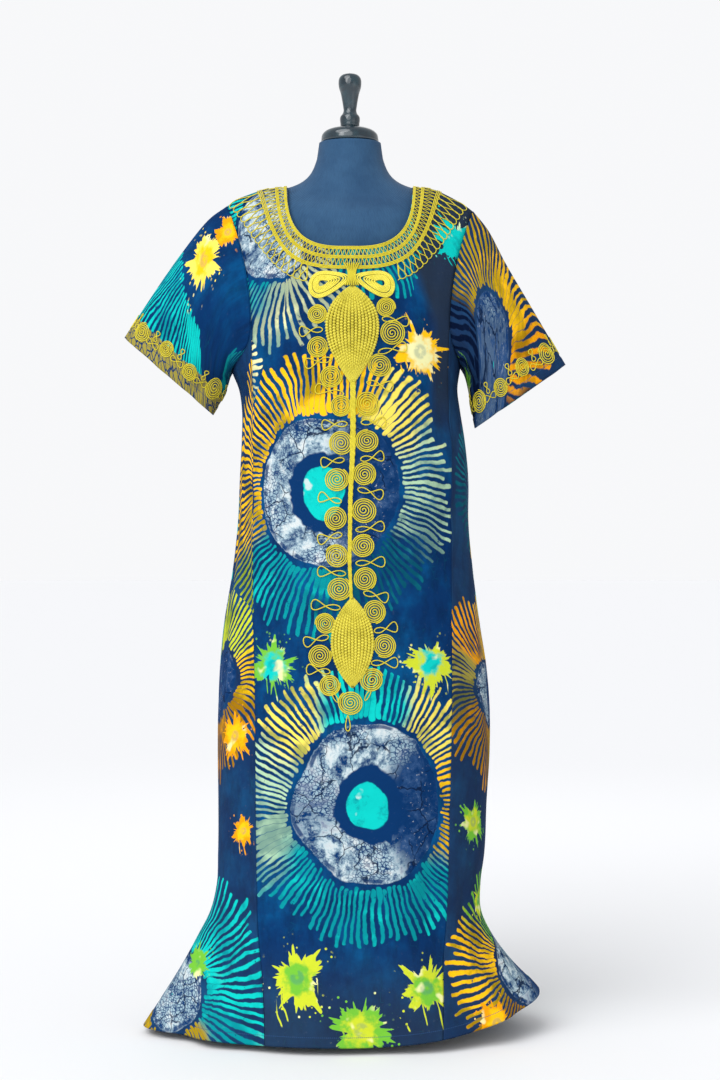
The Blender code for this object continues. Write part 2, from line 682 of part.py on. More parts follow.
def stem(name, panel, material):
    rows = np.array(STEM)
    heights = np.linspace(rows[0, 0], rows[-1, 0], 15)
    middle = np.interp(heights, rows[:, 0], rows[:, 1])
    half = np.interp(heights, rows[:, 0], rows[:, 2])
    columns = np.array([-1.0, 0.0, 1.0])
    x = middle[:, None] + half[:, None] * columns[None, :]
    z = np.broadcast_to(heights[:, None], x.shape)
    return lying_on_front(name, panel, x, z, material)


def closed_rings(name, rings, material):
    """A closed solid through rings of points, with a flat or fanned face at each end."""
    rings = np.array(rings)
    count, sides = rings.shape[:2]
    faces = []
    for i in range(count - 1):
        for j in range(sides):
            k = (j + 1) % sides
            faces.append((i * sides + j, i * sides + k, (i + 1) * sides + k, (i + 1) * sides + j))
    faces.append(tuple(range(sides))[::-1])
    faces.append(tuple(range((count - 1) * sides, count * sides)))
    return make_object(name, rings.reshape(-1, 3), faces, material)


def turned(name, profile, material, sides=TURNED_SIDES):
    turn = np.arange(sides) * 2 * math.pi / sides
    rings = []
    for radius, height in profile:
        ring = np.stack([radius * np.cos(turn), radius * np.sin(turn), 0 * turn + height], axis=1)
        rings.append(ring)
    return closed_rings(name, rings, material)


def cloth_over(x, y):
    """Height of the cloth's outside over a place on the shoulders."""
    level = np.full(np.shape(x), GORE_TOP)
    line_left = smooth(SHOULDER, SHOULDER_COLUMNS_OF, "left", np.abs(x))
    line_right = smooth(SHOULDER, SHOULDER_COLUMNS_OF, "right", np.abs(x))
    line = by_side(line_left, line_right, x)
    wide = body_value("left", "right", x, level)
    front = smooth(BODY, BODY_COLUMNS, "front", level)
    back = smooth(BODY, BODY_COLUMNS, "back", level)
    deep = np.where(y < 0, front, back) * np.sqrt(1.0 - (x / wide) ** 2)
    lean = np.clip(np.abs(y) / deep, 0.0, 1.0)
    return GORE_TOP + (line - GORE_TOP) * (1.0 - lean**SHOULDER_ARC) ** (1 / SHOULDER_ARC)


def dress_form(material):
    turn = np.arange(FORM_SIDES) * 2 * math.pi / FORM_SIDES
    cos, sin = np.cos(turn), np.sin(turn)
    rings = []
    for height, half_width, front, back in FORM_NECK:
        y = np.where(sin < 0, front, back) * sin
        rings.append(np.stack([half_width * cos, y, 0 * turn + height], axis=1))
    for half_width, front, back, below in FORM_SHOULDERS:
        x = half_width * cos
        y = np.where(sin < 0, front, back) * sin
        sink = RIDGE_SINK * np.minimum(np.abs(y) / RIDGE_WIDTH, 1.0) + FORM_SLOPE * np.abs(y)
        z = cloth_over(x, y) - WALL - below - sink
        rings.append(np.stack([x, y, z], axis=1))
    for height, half_width, front, back in FORM_TORSO:
        y = np.where(sin < 0, front, back) * sin
        rings.append(np.stack([half_width * cos, y, 0 * turn + height], axis=1))
    return closed_rings("form_torso", rings[::-1], material)


def build():
    for obj in list(bpy.data.objects):
        bpy.data.objects.remove(obj)
    batik = new_material("batik_blue", CLOTH_BLUE, 0.85)
    slate = new_material("batik_slate", CLOTH_SLATE, 0.85)
    turquoise = new_material("batik_turquoise", CLOTH_TURQUOISE, 0.85)
    plain = new_material("batik_back", CLOTH_BLUE, 0.85)
    thread = new_material("thread_yellow", THREAD_YELLOW, 0.60)
    jersey = new_material("form_jersey", JERSEY_BLUE, 0.90)
    lacquer = new_material("form_lacquer", LACQUER, 0.25)
    metal = new_material("stand_metal", METAL_GREY, 0.45, 0.8)

    ring_left = armhole_ring(-1)
    ring_right = armhole_ring(1)
    front = surface_of(centre_panel(ring_left, ring_right, batik))
    gore("gore_left", -1, ring_left, slate)
    gore("gore_right", 1, ring_right, slate)
    back = surface_of(back_panel(ring_left, ring_right, plain))
    sleeve("sleeve_left", -1, ring_left, SLEEVE_LEFT, turquoise)
    sleeve("sleeve_right", 1, ring_right, SLEEVE_RIGHT, turquoise)

    neck_band("neck_embroidery_front", front, -1, thread)
    neck_band("neck_embroidery_back", back, 1, thread)
    bow_loop("bow_loop_left", front, BOW_LEFT, -1, thread)
    bow_loop("bow_loop_right", front, BOW_RIGHT, 1, thread)
    pointed_oval("upper_oval", front, UPPER_OVAL, thread)
    pointed_oval("lower_oval", front, LOWER_OVAL, thread)
    stem("stem", front, thread)

    dress_form(jersey)
    turned("neck_cap", NECK_CAP, lacquer)
    turned("finial", FINIAL, lacquer)
    turned("pole", POLE, metal, 24)
    turned("base_plate", BASE, metal, 40)


build()
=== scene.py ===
# %% [markdown]
# # A wax-print maxi dress on its form
# The dress is cut from cotton batik: deep blue cloth with bright sunburst roundels, splashes and
# crackle left by hot wax. Yellow cord is couched round the neck and down the front. This lesson
# builds the look over a CAD frame. Metres are used throughout, +Z is up, the front faces -Y and
# +X is the viewer's right. The frame comes first, because every piece has to lie on it.

# %% Load the frame
import math

import bpy
import numpy as np
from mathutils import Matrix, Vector


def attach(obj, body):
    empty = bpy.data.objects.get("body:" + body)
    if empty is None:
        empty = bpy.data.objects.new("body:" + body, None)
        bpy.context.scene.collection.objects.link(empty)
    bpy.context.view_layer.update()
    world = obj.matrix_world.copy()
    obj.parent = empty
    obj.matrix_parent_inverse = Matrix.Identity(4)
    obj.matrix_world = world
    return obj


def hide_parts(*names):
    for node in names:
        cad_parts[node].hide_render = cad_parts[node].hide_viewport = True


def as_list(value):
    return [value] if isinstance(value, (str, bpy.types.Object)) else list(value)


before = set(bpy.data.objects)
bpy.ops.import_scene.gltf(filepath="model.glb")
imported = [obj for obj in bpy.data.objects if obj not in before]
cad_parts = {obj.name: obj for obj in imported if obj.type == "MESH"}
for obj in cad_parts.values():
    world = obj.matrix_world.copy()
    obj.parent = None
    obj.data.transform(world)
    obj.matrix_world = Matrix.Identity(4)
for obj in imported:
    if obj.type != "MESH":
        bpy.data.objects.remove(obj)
scene = bpy.context.scene
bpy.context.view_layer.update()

# %% [markdown]
# ## The camera and the studio
# The photograph looks straight at the dress from 3.6 m away, at the height of the hips, so the
# camera stands level there with a long lens. The camera comes before the cloth, since each later
# step is judged through it. The studio is one pale floor, a pale sky, three large lamps and two
# wide suns: large lamps give the soft shadows of a shop photograph, where a small one would draw
# hard edges.

# %% Camera
CAMERA_PLACE = (0.017, -3.6, 0.828)
camera_data = bpy.data.cameras.new("photo_camera")
camera_data.sensor_width = 36.0
camera_data.lens = 70.6
camera = bpy.data.objects.new("photo_camera", camera_data)
camera.location = CAMERA_PLACE
camera.rotation_euler = (math.pi / 2, 0.0, 0.0)
scene.collection.objects.link(camera)
scene.camera = camera
print("camera at", CAMERA_PLACE, "lens", camera_data.lens)


# %% Floor and light
SUN_WIDTH = 50
SKY_STRENGTH = 0.60
SKY_LIGHT = (0.95, 0.955, 0.97, 1)
SKY_SEEN = (0.935, 0.94, 0.955, 1)
FLOOR_COLOUR = (0.880, 0.886, 0.902)
FLOOR_HALF = 40
FLOOR_LEVEL = -0.0004


def soft_lamp(name, place, target, size, power):
    """An area lamp at place, turned to face target."""
    lamp = bpy.data.lights.new(name, "AREA")
    lamp.shape = "DISK"
    lamp.size = size
    lamp.energy = power
    obj = bpy.data.objects.new(name, lamp)
    obj.location = place
    obj.rotation_euler = (Vector(target) - Vector(place)).to_track_quat("-Z", "Y").to_euler()
    scene.collection.objects.link(obj)


soft_lamp("key_lamp", (-1.9, -2.7, 2.5), (0, 0, 0.9), 1.3, 12)
soft_lamp("fill_lamp", (2.3, -2.5, 1.3), (0, 0, 0.8), 2.0, 3)
soft_lamp("back_lamp", (0.4, 2.8, 2.6), (0, 0, 0.9), 2.2, 7)
# Two wide, faint suns light the floor evenly out to the horizon, and lean on the cloth: the first
# from high on the left, the second low from the front.
for name, energy, tilt, heading in (("soft_sun", 1.65, 42, -38), ("low_sun", 0.95, 72, -16)):
    data = bpy.data.lights.new(name, "SUN")
    data.energy, data.angle = energy, math.radians(SUN_WIDTH)
    sun = bpy.data.objects.new(name, data)
    sun.rotation_euler = (math.radians(tilt), 0.0, math.radians(heading))
    scene.collection.objects.link(sun)
world = bpy.data.worlds.new("studio")
world.use_nodes = True
sky = world.node_tree.nodes["Background"]
sky.inputs["Strength"].default_value = SKY_STRENGTH
sky.inputs["Color"].default_value = SKY_LIGHT
seen_sky = world.node_tree.nodes.new("ShaderNodeBackground")
seen_sky.inputs["Color"].default_value = SKY_SEEN
rays = world.node_tree.nodes.new("ShaderNodeLightPath")
either = world.node_tree.nodes.new("ShaderNodeMixShader")
for source, target in ((rays.outputs["Is Camera Ray"], either.inputs[0]),
                       (sky.outputs[0], either.inputs[1]), (seen_sky.outputs[0], either.inputs[2]),
                       (either.outputs[0], world.node_tree.nodes["World Output"].inputs[0])):
    world.node_tree.links.new(source, target)
scene.world = world
scene.view_settings.view_transform = "Standard"


def plain_material(name, colour, rough, **sockets):
    """A Principled material with values set straight on its sockets."""
    material = bpy.data.materials.new(name)
    material.use_nodes = True
    shader = material.node_tree.nodes["Principled BSDF"]
    shader.inputs["Base Color"].default_value = (*colour, 1)
    shader.inputs["Roughness"].default_value = rough
    for socket, setting in sockets.items():
        shader.inputs[socket.replace("_", " ")].default_value = setting
    return material


floor_mesh = bpy.data.meshes.new("floor")
corners = ((-1, -1), (1, -1), (1, 1), (-1, 1))
floor_mesh.from_pydata([(FLOOR_HALF * x, FLOOR_HALF * y, FLOOR_LEVEL) for x, y in corners],
                       [], [(0, 1, 2, 3)])
floor = bpy.data.objects.new("floor", floor_mesh)
floor_mesh.materials.append(
    plain_material("pale_floor", FLOOR_COLOUR, 0.9, Specular_IOR_Level=0.0))
scene.collection.objects.link(floor)
print("three lamps, two faint suns and a floor")

# %% [markdown]
# ## The cut of the dress in tables
# A dressmaker notes a dress as measurements taken at a few heights, and the shape between them
# follows by a smooth curve. These tables are the same ones that the solid cloth was cut from, so
# the fine cloth made here lies where the solid does. A column number runs across each face:
# -2 and 2 are the side seams, -1 and 1 the seams between the centre panel and the side gores.

# %% Body, shoulder and sleeve tables
WALL = 0.0015
SEAM = 0.0003
HEM_HEIGHT = 0.012
HEM_RISE = 0.050
HEM_RISE_POWER = 2.2
HEM_HALF_WIDTH = 0.335
GORE_TOP = 1.1765
UNDERARM_LEFT = 1.1136
UNDERARM_RIGHT = 1.1204
NECK_HALF_WIDTH = 0.107
SHOULDER_TIP = 0.209
SHOULDER_ARC = 2.4
FRONT_NECK_DROP = 0.480
BACK_NECK_DROP = 0.100
BAND_WIDTH = 0.028
BAND_DROP = 0.140
NECK_SLANT = 0.050
NECK_SLANT_POWER = 0.6
NECK_DEPTH = 0.123
# height, half-width left and right, depth in front and behind, panel seam left and right
BODY = np.array((
    (0.000, 0.3520, 0.3520, 0.203, 0.203, 0.137, 0.150),
    (0.060, 0.3145, 0.3245, 0.196, 0.195, 0.140, 0.152),
    (0.120, 0.2775, 0.2690, 0.189, 0.187, 0.144, 0.155),
    (0.160, 0.2560, 0.2405, 0.185, 0.182, 0.147, 0.157),
    (0.200, 0.2355, 0.2225, 0.181, 0.178, 0.149, 0.159),
    (0.245, 0.2245, 0.2215, 0.178, 0.174, 0.151, 0.161),
    (0.300, 0.2225, 0.2290, 0.175, 0.170, 0.153, 0.163),
    (0.386, 0.2227, 0.2329, 0.172, 0.165, 0.155, 0.165),
    (0.468, 0.2244, 0.2375, 0.170, 0.161, 0.157, 0.167),
    (0.529, 0.2244, 0.2380, 0.168, 0.158, 0.158, 0.168),
    (0.610, 0.2210, 0.2329, 0.166, 0.155, 0.159, 0.169),
    (0.692, 0.2125, 0.2210, 0.163, 0.151, 0.160, 0.170),
    (0.774, 0.1989, 0.2108, 0.160, 0.147, 0.161, 0.170),
    (0.855, 0.1904, 0.2023, 0.157, 0.142, 0.162, 0.170),
    (0.937, 0.1870, 0.2006, 0.155, 0.136, 0.162, 0.170),
    (1.000, 0.1838, 0.1938, 0.153, 0.131, 0.162, 0.169),
    (1.050, 0.1836, 0.1862, 0.151, 0.126, 0.162, 0.167),
    (1.085, 0.1890, 0.1825, 0.150, 0.122, 0.163, 0.166),
    (1.114, 0.2006, 0.1865, 0.149, 0.119, 0.163, 0.166),
    (1.1765, 0.2060, 0.2000, 0.148, 0.116, 0.164, 0.167),
))
LEFT, RIGHT, FRONT, BACK, SEAM_LEFT, SEAM_RIGHT = 1, 2, 3, 4, 5, 6
# distance out along the shoulder, height on the left, height on the right
SHOULDER = np.array((
    (0.000, 1.4320, 1.4320), (0.085, 1.4290, 1.4290), (0.107, 1.4262, 1.4262),
    (0.140, 1.4230, 1.4225), (0.173, 1.4130, 1.4080), (0.192, 1.4055, 1.3975),
    (0.209, 1.3940, 1.3855),
))
# soft flutes of the skirt: degrees from the front middle, spread, how far out, start height
FLUTES = (
    (-76.0, 9.0, 0.010, 0.42), (-56.0, 8.0, -0.013, 0.40), (60.0, 8.0, -0.010, 0.36),
    (75.0, 8.0, 0.007, 0.34), (112.0, 10.0, -0.012, 0.44), (135.0, 11.0, 0.012, 0.52),
    (160.0, 11.0, -0.011, 0.48), (184.0, 11.0, 0.010, 0.56), (207.0, 11.0, -0.012, 0.50),
    (232.0, 11.0, 0.011, 0.46), (254.0, 9.0, -0.010, 0.40),
)
# share of the sleeve's length, top edge out and height, under edge out and height, half-depth
SLEEVE_LEFT = np.array((
    (0.00, 0.2090, 1.3940, 0.2006, 1.1136, 0.080), (0.20, 0.2400, 1.3710, 0.2040, 1.1030, 0.086),
    (0.45, 0.2870, 1.3130, 0.2085, 1.0870, 0.082), (0.70, 0.3330, 1.2480, 0.2160, 1.0690, 0.067),
    (1.00, 0.3825, 1.1714, 0.2329, 1.0405, 0.046),
))
SLEEVE_RIGHT = np.array((
    (0.00, 0.2090, 1.3855, 0.1900, 1.1204, 0.080), (0.20, 0.2340, 1.3540, 0.1960, 1.1060, 0.086),
    (0.45, 0.2650, 1.2960, 0.2005, 1.0850, 0.082), (0.70, 0.3080, 1.2240, 0.2050, 1.0560, 0.067),
    (1.00, 0.3655, 1.1255, 0.2125, 1.0180, 0.046),
))
print("tables:", len(BODY), "body rows,", len(FLUTES), "flutes,", len(SLEEVE_LEFT), "sleeve rows")


# %% Reading a table as a smooth curve
def smooth(table, column, at):
    """The cubic curve through a table's rows, whose slope at each row is that of its neighbours."""
    xs, ys = table[:, 0], table[:, column]
    if xs[0] > xs[-1]:
        xs, ys = xs[::-1], ys[::-1]
    slopes = np.gradient(ys, xs)
    at = np.clip(np.asarray(at, float), xs[0], xs[-1])
    cell = np.clip(np.searchsorted(xs, at) - 1, 0, len(xs) - 2)
    width = xs[cell + 1] - xs[cell]
    u = (at - xs[cell]) / width
    return (ys[cell] * (2 * u**3 - 3 * u**2 + 1) + ys[cell + 1] * (3 * u**2 - 2 * u**3)
            + slopes[cell] * width * (u**3 - 2 * u**2 + u)
            + slopes[cell + 1] * width * (u**3 - u**2))


def body_value(left, right, column, height):
    return np.where(column < 0, smooth(BODY, left, height), smooth(BODY, right, height))


def unit(vectors):
    return vectors / np.maximum(np.linalg.norm(vectors, axis=-1, keepdims=True), 1e-12)


print("waist half-width", round(float(smooth(BODY, LEFT, 0.937)), 4))

# %% [markdown]
# ## The surface of the body
# Below the armholes the dress is a stack of half-ellipses, one for the front and one for the back.
# Above, each column of the cloth leans over to the shoulder line along a rounded arc. Both are
# functions of two numbers, so the same functions serve for cloth of any fineness, and for
# everything that is sewn on to it.


# %% Below the armholes
def angle_of(column, height):
    """Angle round the body, so that column 1 stands on the panel's seam and 2 on the side seam."""
    seam = body_value(SEAM_LEFT, SEAM_RIGHT, column, height)
    wide = body_value(LEFT, RIGHT, column, height)
    at_seam = np.arcsin(seam / wide)
    near = np.arcsin(np.minimum(np.abs(column), 1.0) * seam / wide)
    far = at_seam + (np.abs(column) - 1.0) * (math.pi / 2 - at_seam)
    return np.sign(column) * np.where(np.abs(column) <= 1.0, near, far)


def flute(degrees, height):
    """Each flute is a bell curve round the body that grows from its start height to the hem."""
    total = np.zeros(np.broadcast(degrees, height).shape)
    for angle, spread, out, start in FLUTES:
        turn = (degrees - angle + 180.0) % 360.0 - 180.0
        drop = np.clip((start - height) / start, 0.0, 1.0)
        total = total + out * np.exp(-((turn / spread) ** 2)) * drop**1.4
    return total


def section_point(column, height, face):
    """Half-width times the sine of the angle across, depth times its cosine out; face is -1 for the
    front and 1 for the back."""
    angle = angle_of(column, height)
    degrees = np.degrees(angle) if face < 0 else 180.0 - np.degrees(angle)
    out = flute(degrees, height)
    x = (body_value(LEFT, RIGHT, column, height) + out) * np.sin(angle)
    y = face * (smooth(BODY, FRONT if face < 0 else BACK, height) + out) * np.cos(angle)
    return np.stack(np.broadcast_arrays(x, y, height), axis=-1)


def hem_height(column):
    """The hem rises towards the right as a power of the distance out."""
    level = np.full(np.shape(column), HEM_HEIGHT)
    part = np.maximum(section_point(column, level, -1)[..., 0], 0.0) / HEM_HALF_WIDTH
    return HEM_HEIGHT + HEM_RISE * part**HEM_RISE_POWER


def panel_top(column):
    """Level across the panel, then down the armhole to the underarm as a quarter of an oval."""
    level = np.full(np.shape(column), GORE_TOP)
    seam_angle = angle_of(np.sign(column) * 1.0, level)
    ratio = np.cos(angle_of(column, level)) / np.cos(seam_angle)
    dip = np.sqrt(np.clip(1.0 - np.minimum(ratio, 1.0) ** 2, 0.0, 1.0))
    underarm = np.where(column < 0, UNDERARM_LEFT, UNDERARM_RIGHT)
    return GORE_TOP - (GORE_TOP - underarm) * np.where(np.abs(column) <= 1.01, 0.0, dip)


print("hem at the right side", round(float(hem_height(np.array(2.0))), 4))


# %% Chest, upper back and neckline
def shoulder_line(column, out):
    """Height of the shoulder at a distance out from the middle, on the column's own side."""
    return np.where(column < 0, smooth(SHOULDER, 1, out), smooth(SHOULDER, 2, out))


def yoke_point(column, climb, face):
    """From the gore's top (climb 0) to the shoulder line (1), leaning in along a rounded arc."""
    level = np.full(np.shape(column), GORE_TOP)
    seam = body_value(SEAM_LEFT, SEAM_RIGHT, column, level)
    wide = body_value(LEFT, RIGHT, column, level)
    deep = smooth(BODY, FRONT if face < 0 else BACK, level)
    foot = np.abs(column) * seam
    side = np.clip((foot - NECK_HALF_WIDTH) / (seam - NECK_HALF_WIDTH), 0.0, 1.0)
    spread = (SHOULDER_TIP - seam) * side**2
    line = shoulder_line(column, foot + spread)
    depth = deep * np.sqrt(1.0 - (foot / wide) ** 2)
    lean = np.clip(1.0 - climb**SHOULDER_ARC, 0.0, 1.0) ** (1.0 / SHOULDER_ARC)
    x = np.sign(column) * (foot + spread * climb**2)
    z = GORE_TOP + (line - GORE_TOP) * climb
    return np.stack(np.broadcast_arrays(x, face * depth * lean, z), axis=-1)


def neck_width(drop):
    """Half-width of the neckline at a share of its drop: a cube-root U, slanted a little."""
    return (1.0 - NECK_SLANT * drop**NECK_SLANT_POWER) * np.cbrt(1.0 - drop**3)


def neck_cut(column, face):
    """The climb where a column ends: at the neckline inside the neck, else at the shoulder."""
    level = np.full(np.shape(column), GORE_TOP)
    seam = body_value(SEAM_LEFT, SEAM_RIGHT, column, level)
    part = np.minimum(np.abs(column) * seam / NECK_HALF_WIDTH, 1.0)
    tries = np.linspace(1.0, 0.0, 4001) ** 2
    drop = np.interp(part, neck_width(tries), tries)
    return 1.0 - drop * (FRONT_NECK_DROP if face < 0 else BACK_NECK_DROP)


def climb_rows(column, share, face):
    """Even steps along the shoulder's arc, up to where the column ends."""
    end = np.arcsin(np.clip(neck_cut(column, face), 0.0, 1.0) ** (SHOULDER_ARC / 2))
    return np.sin(share * end) ** (2 / SHOULDER_ARC)


def front_point(x, z, face=-1):
    """The same surface read as a height map: its depth over a place x, z near the middle."""
    low = smooth(BODY, FRONT if face < 0 else BACK, z) * np.sqrt(
        1.0 - (x / body_value(LEFT, RIGHT, x, z)) ** 2)
    level = np.full(np.shape(x), GORE_TOP)
    line = smooth(SHOULDER, 1, np.abs(x))
    climb = np.clip((z - GORE_TOP) / (line - GORE_TOP), 0.0, 1.0)
    chest = smooth(BODY, FRONT if face < 0 else BACK, level) * np.sqrt(
        1.0 - (x / body_value(LEFT, RIGHT, x, level)) ** 2)
    high = chest * (1.0 - climb**SHOULDER_ARC) ** (1 / SHOULDER_ARC)
    return np.stack([x, face * (np.where(z < GORE_TOP, low, high) + SEAM / 2), z], axis=-1)


print("neckline's lowest point", np.round(front_point(np.zeros(1), np.full(1, 1.31))[0], 4))

# %% [markdown]
# ## Creases laid one by one
# Real cotton hangs in soft troughs and ridges that start where something holds it: under the arms,
# at the shoulders, over the hips. A cloth simulation could find such folds, but it would move the
# print and the embroidery with it, and the folds of this dress are few and known. So each crease is
# a line on the unrolled body with a width and a depth, negative for a trough. Lines that run down
# to the hem keep their depth there, and the others fade out at both ends.

# %% The table of creases
BODY_DEGREE = 0.0035  # metres of cloth to a degree round the body
WAVE = 0.0010  # the broad unevenness under the creases
# degrees and height where a crease starts, the same where it ends, its width and depth
CREASES = (
    (-47, 0.66, -51, 0.00, 0.019, -0.0050), (-39, 0.56, -41, 0.00, 0.022, 0.0042),
    (-27, 0.44, -29, 0.00, 0.022, -0.0040), (-12, 0.34, -12, 0.00, 0.028, 0.0034),
    (7, 0.40, 8, 0.00, 0.026, -0.0038), (21, 0.42, 23, 0.00, 0.026, 0.0036),
    (35, 0.55, 38, 0.00, 0.020, -0.0045), (48, 0.62, 51, 0.00, 0.018, 0.0036),
    (-24, 0.386, 16, 0.393, 0.008, -0.0021), (12, 0.392, 54, 0.380, 0.008, -0.0026),
    (26, 0.706, 58, 0.692, 0.009, -0.0024), (-58, 0.722, -36, 0.702, 0.011, -0.0020),
    (-14, 0.180, 31, 0.168, 0.012, -0.0015), (-50, 0.530, -20, 0.512, 0.014, -0.0014),
    (-70, 1.060, -36, 0.985, 0.013, -0.0034), (-68, 1.020, -30, 0.905, 0.016, 0.0026),
    (-74, 0.960, -44, 0.830, 0.014, -0.0026), (68, 1.050, 34, 0.975, 0.013, -0.0032),
    (66, 1.005, 29, 0.890, 0.016, 0.0024), (72, 0.940, 42, 0.815, 0.014, -0.0026),
    (-47, 1.340, -37, 1.150, 0.015, -0.0024), (48, 1.330, 38, 1.145, 0.015, -0.0024),
    (-40, 1.260, -30, 1.130, 0.014, 0.0016), (42, 1.250, 31, 1.120, 0.014, 0.0016),
    (-21, 1.000, -18, 0.720, 0.030, -0.0026), (25, 1.010, 22, 0.740, 0.028, -0.0024),
    (-84, 0.900, -80, 0.500, 0.016, -0.0032), (86, 0.890, 82, 0.470, 0.016, -0.0034),
    (-66, 0.800, -64, 0.380, 0.018, 0.0030), (68, 0.790, 67, 0.360, 0.018, 0.0030),
    (104, 0.880, 108, 0.300, 0.020, -0.0040), (122, 1.070, 146, 0.930, 0.015, -0.0034),
    (120, 1.020, 150, 0.850, 0.018, 0.0028), (131, 0.720, 128, 0.000, 0.022, 0.0040),
    (146, 0.760, 149, 0.000, 0.024, -0.0044), (171, 0.820, 173, 0.100, 0.028, -0.0040),
    (186, 0.640, 196, 0.000, 0.024, 0.0040), (214, 0.740, 212, 0.000, 0.022, -0.0044),
    (238, 1.070, 212, 0.920, 0.015, -0.0034), (240, 1.010, 208, 0.830, 0.018, 0.0028),
    (229, 0.700, 232, 0.000, 0.022, 0.0040), (254, 0.860, 250, 0.280, 0.018, -0.0036),
    (150, 0.700, 208, 0.688, 0.011, -0.0020), (158, 0.420, 200, 0.430, 0.010, -0.0018),
    (141, 1.330, 150, 1.120, 0.016, -0.0024), (219, 1.330, 210, 1.120, 0.016, -0.0024),
    (170, 1.340, 178, 1.130, 0.020, -0.0018), (192, 1.280, 188, 1.060, 0.018, 0.0018),
)


def step(low, high, value):
    """A smooth step from 0 at low to 1 at high."""
    t = np.clip((value - low) / (high - low), 0.0, 1.0)
    return t * t * (3.0 - 2.0 * t)


def near_line(across, up, line, ends_at_hem):
    """A bell curve of the distance to a line, whose height swells in from the line's ends."""
    x0, y0, x1, y1, width = line
    length2 = (x1 - x0) ** 2 + (y1 - y0) ** 2
    t = ((across - x0) * (x1 - x0) + (up - y0) * (y1 - y0)) / length2
    held = np.clip(t, 0.0, 1.0)
    far = (across - x0 - held * (x1 - x0)) ** 2 + (up - y0 - held * (y1 - y0)) ** 2
    swell = step(-0.1, 0.35, t) * (1.0 if ends_at_hem else 1.0 - step(0.65, 1.1, t))
    return np.exp(-far / width**2) * swell


def drape(degrees, height):
    """How far out the creases carry the cloth, fading to nothing at the shoulders and armholes."""
    total = WAVE * np.sin(degrees * 0.11 + 5.0 * height) * np.sin(9.0 * height + degrees * 0.05)
    for start, top, end, foot, width, depth in CREASES:
        for turn in (0.0, 360.0):
            line = (BODY_DEGREE * (start - turn), top, BODY_DEGREE * (end - turn), foot, width)
            total = total + depth * near_line(BODY_DEGREE * degrees, height, line, foot < 0.05)
    arm = step(0.68, 0.83, np.abs(np.sin(np.radians(degrees)))) * step(0.99, 1.09, height)
    return total * (1.0 - arm) * (1.0 - step(1.25, 1.37, height))


print(len(CREASES), "creases")

# %% [markdown]
# ## From points to cloth
# Cloth has two sides and an edge. Each panel is a grid of points with a second grid 1.5 mm inside
# it, and a rim wherever a cell has no neighbour. The two grids, the rims and the cloth's own
# coordinates are all made as whole arrays. The map of the print is in metres along the cloth, so
# a motif has its real size wherever it falls.


# %% Walls of cloth
def distances(points, axis):
    """Length along a grid's rows or columns, from their first point."""
    first = points[:1] if axis == 0 else points[:, :1]
    return np.cumsum(np.linalg.norm(np.diff(points, axis=axis, prepend=first), axis=2), axis=axis)


def grid_normals(points, closed=False):
    """Normals from the neighbours along rows and columns, pointing away from the middle."""
    wide = np.concatenate([points[:, -2:], points, points[:, :2]], axis=1) if closed else points
    normal = unit(np.cross(np.gradient(wide, axis=1), np.gradient(wide, axis=0)))
    return normal[:, 2:-2] if closed else normal


def piece_from(name, points, faces, uv, attributes=None):
    """A mesh object from arrays: points (n, 3), faces (m, 4), uv for each face corner."""
    mesh = bpy.data.meshes.new(name)
    points, faces = np.asarray(points, np.float32), np.asarray(faces, np.int32)
    sides = faces.shape[1]
    mesh.vertices.add(len(points))
    mesh.vertices.foreach_set("co", points.ravel())
    mesh.loops.add(faces.size)
    mesh.loops.foreach_set("vertex_index", faces.ravel())
    mesh.polygons.add(len(faces))
    mesh.polygons.foreach_set("loop_start", np.arange(0, faces.size, sides, dtype=np.int32))
    mesh.update(calc_edges=True)
    mesh.polygons.foreach_set("use_smooth", np.ones(len(faces), bool))
    layer = mesh.uv_layers.new(name="cloth")
    layer.uv.foreach_set("vector", np.asarray(uv, np.float32).ravel())
    for key, values in (attributes or {}).items():
        mesh.attributes.new(key, "FLOAT", "POINT").data.foreach_set(
            "value", np.asarray(values, np.float32).ravel())
    mesh.validate()
    obj = bpy.data.objects.new(name, mesh)
    scene.collection.objects.link(obj)
    return obj


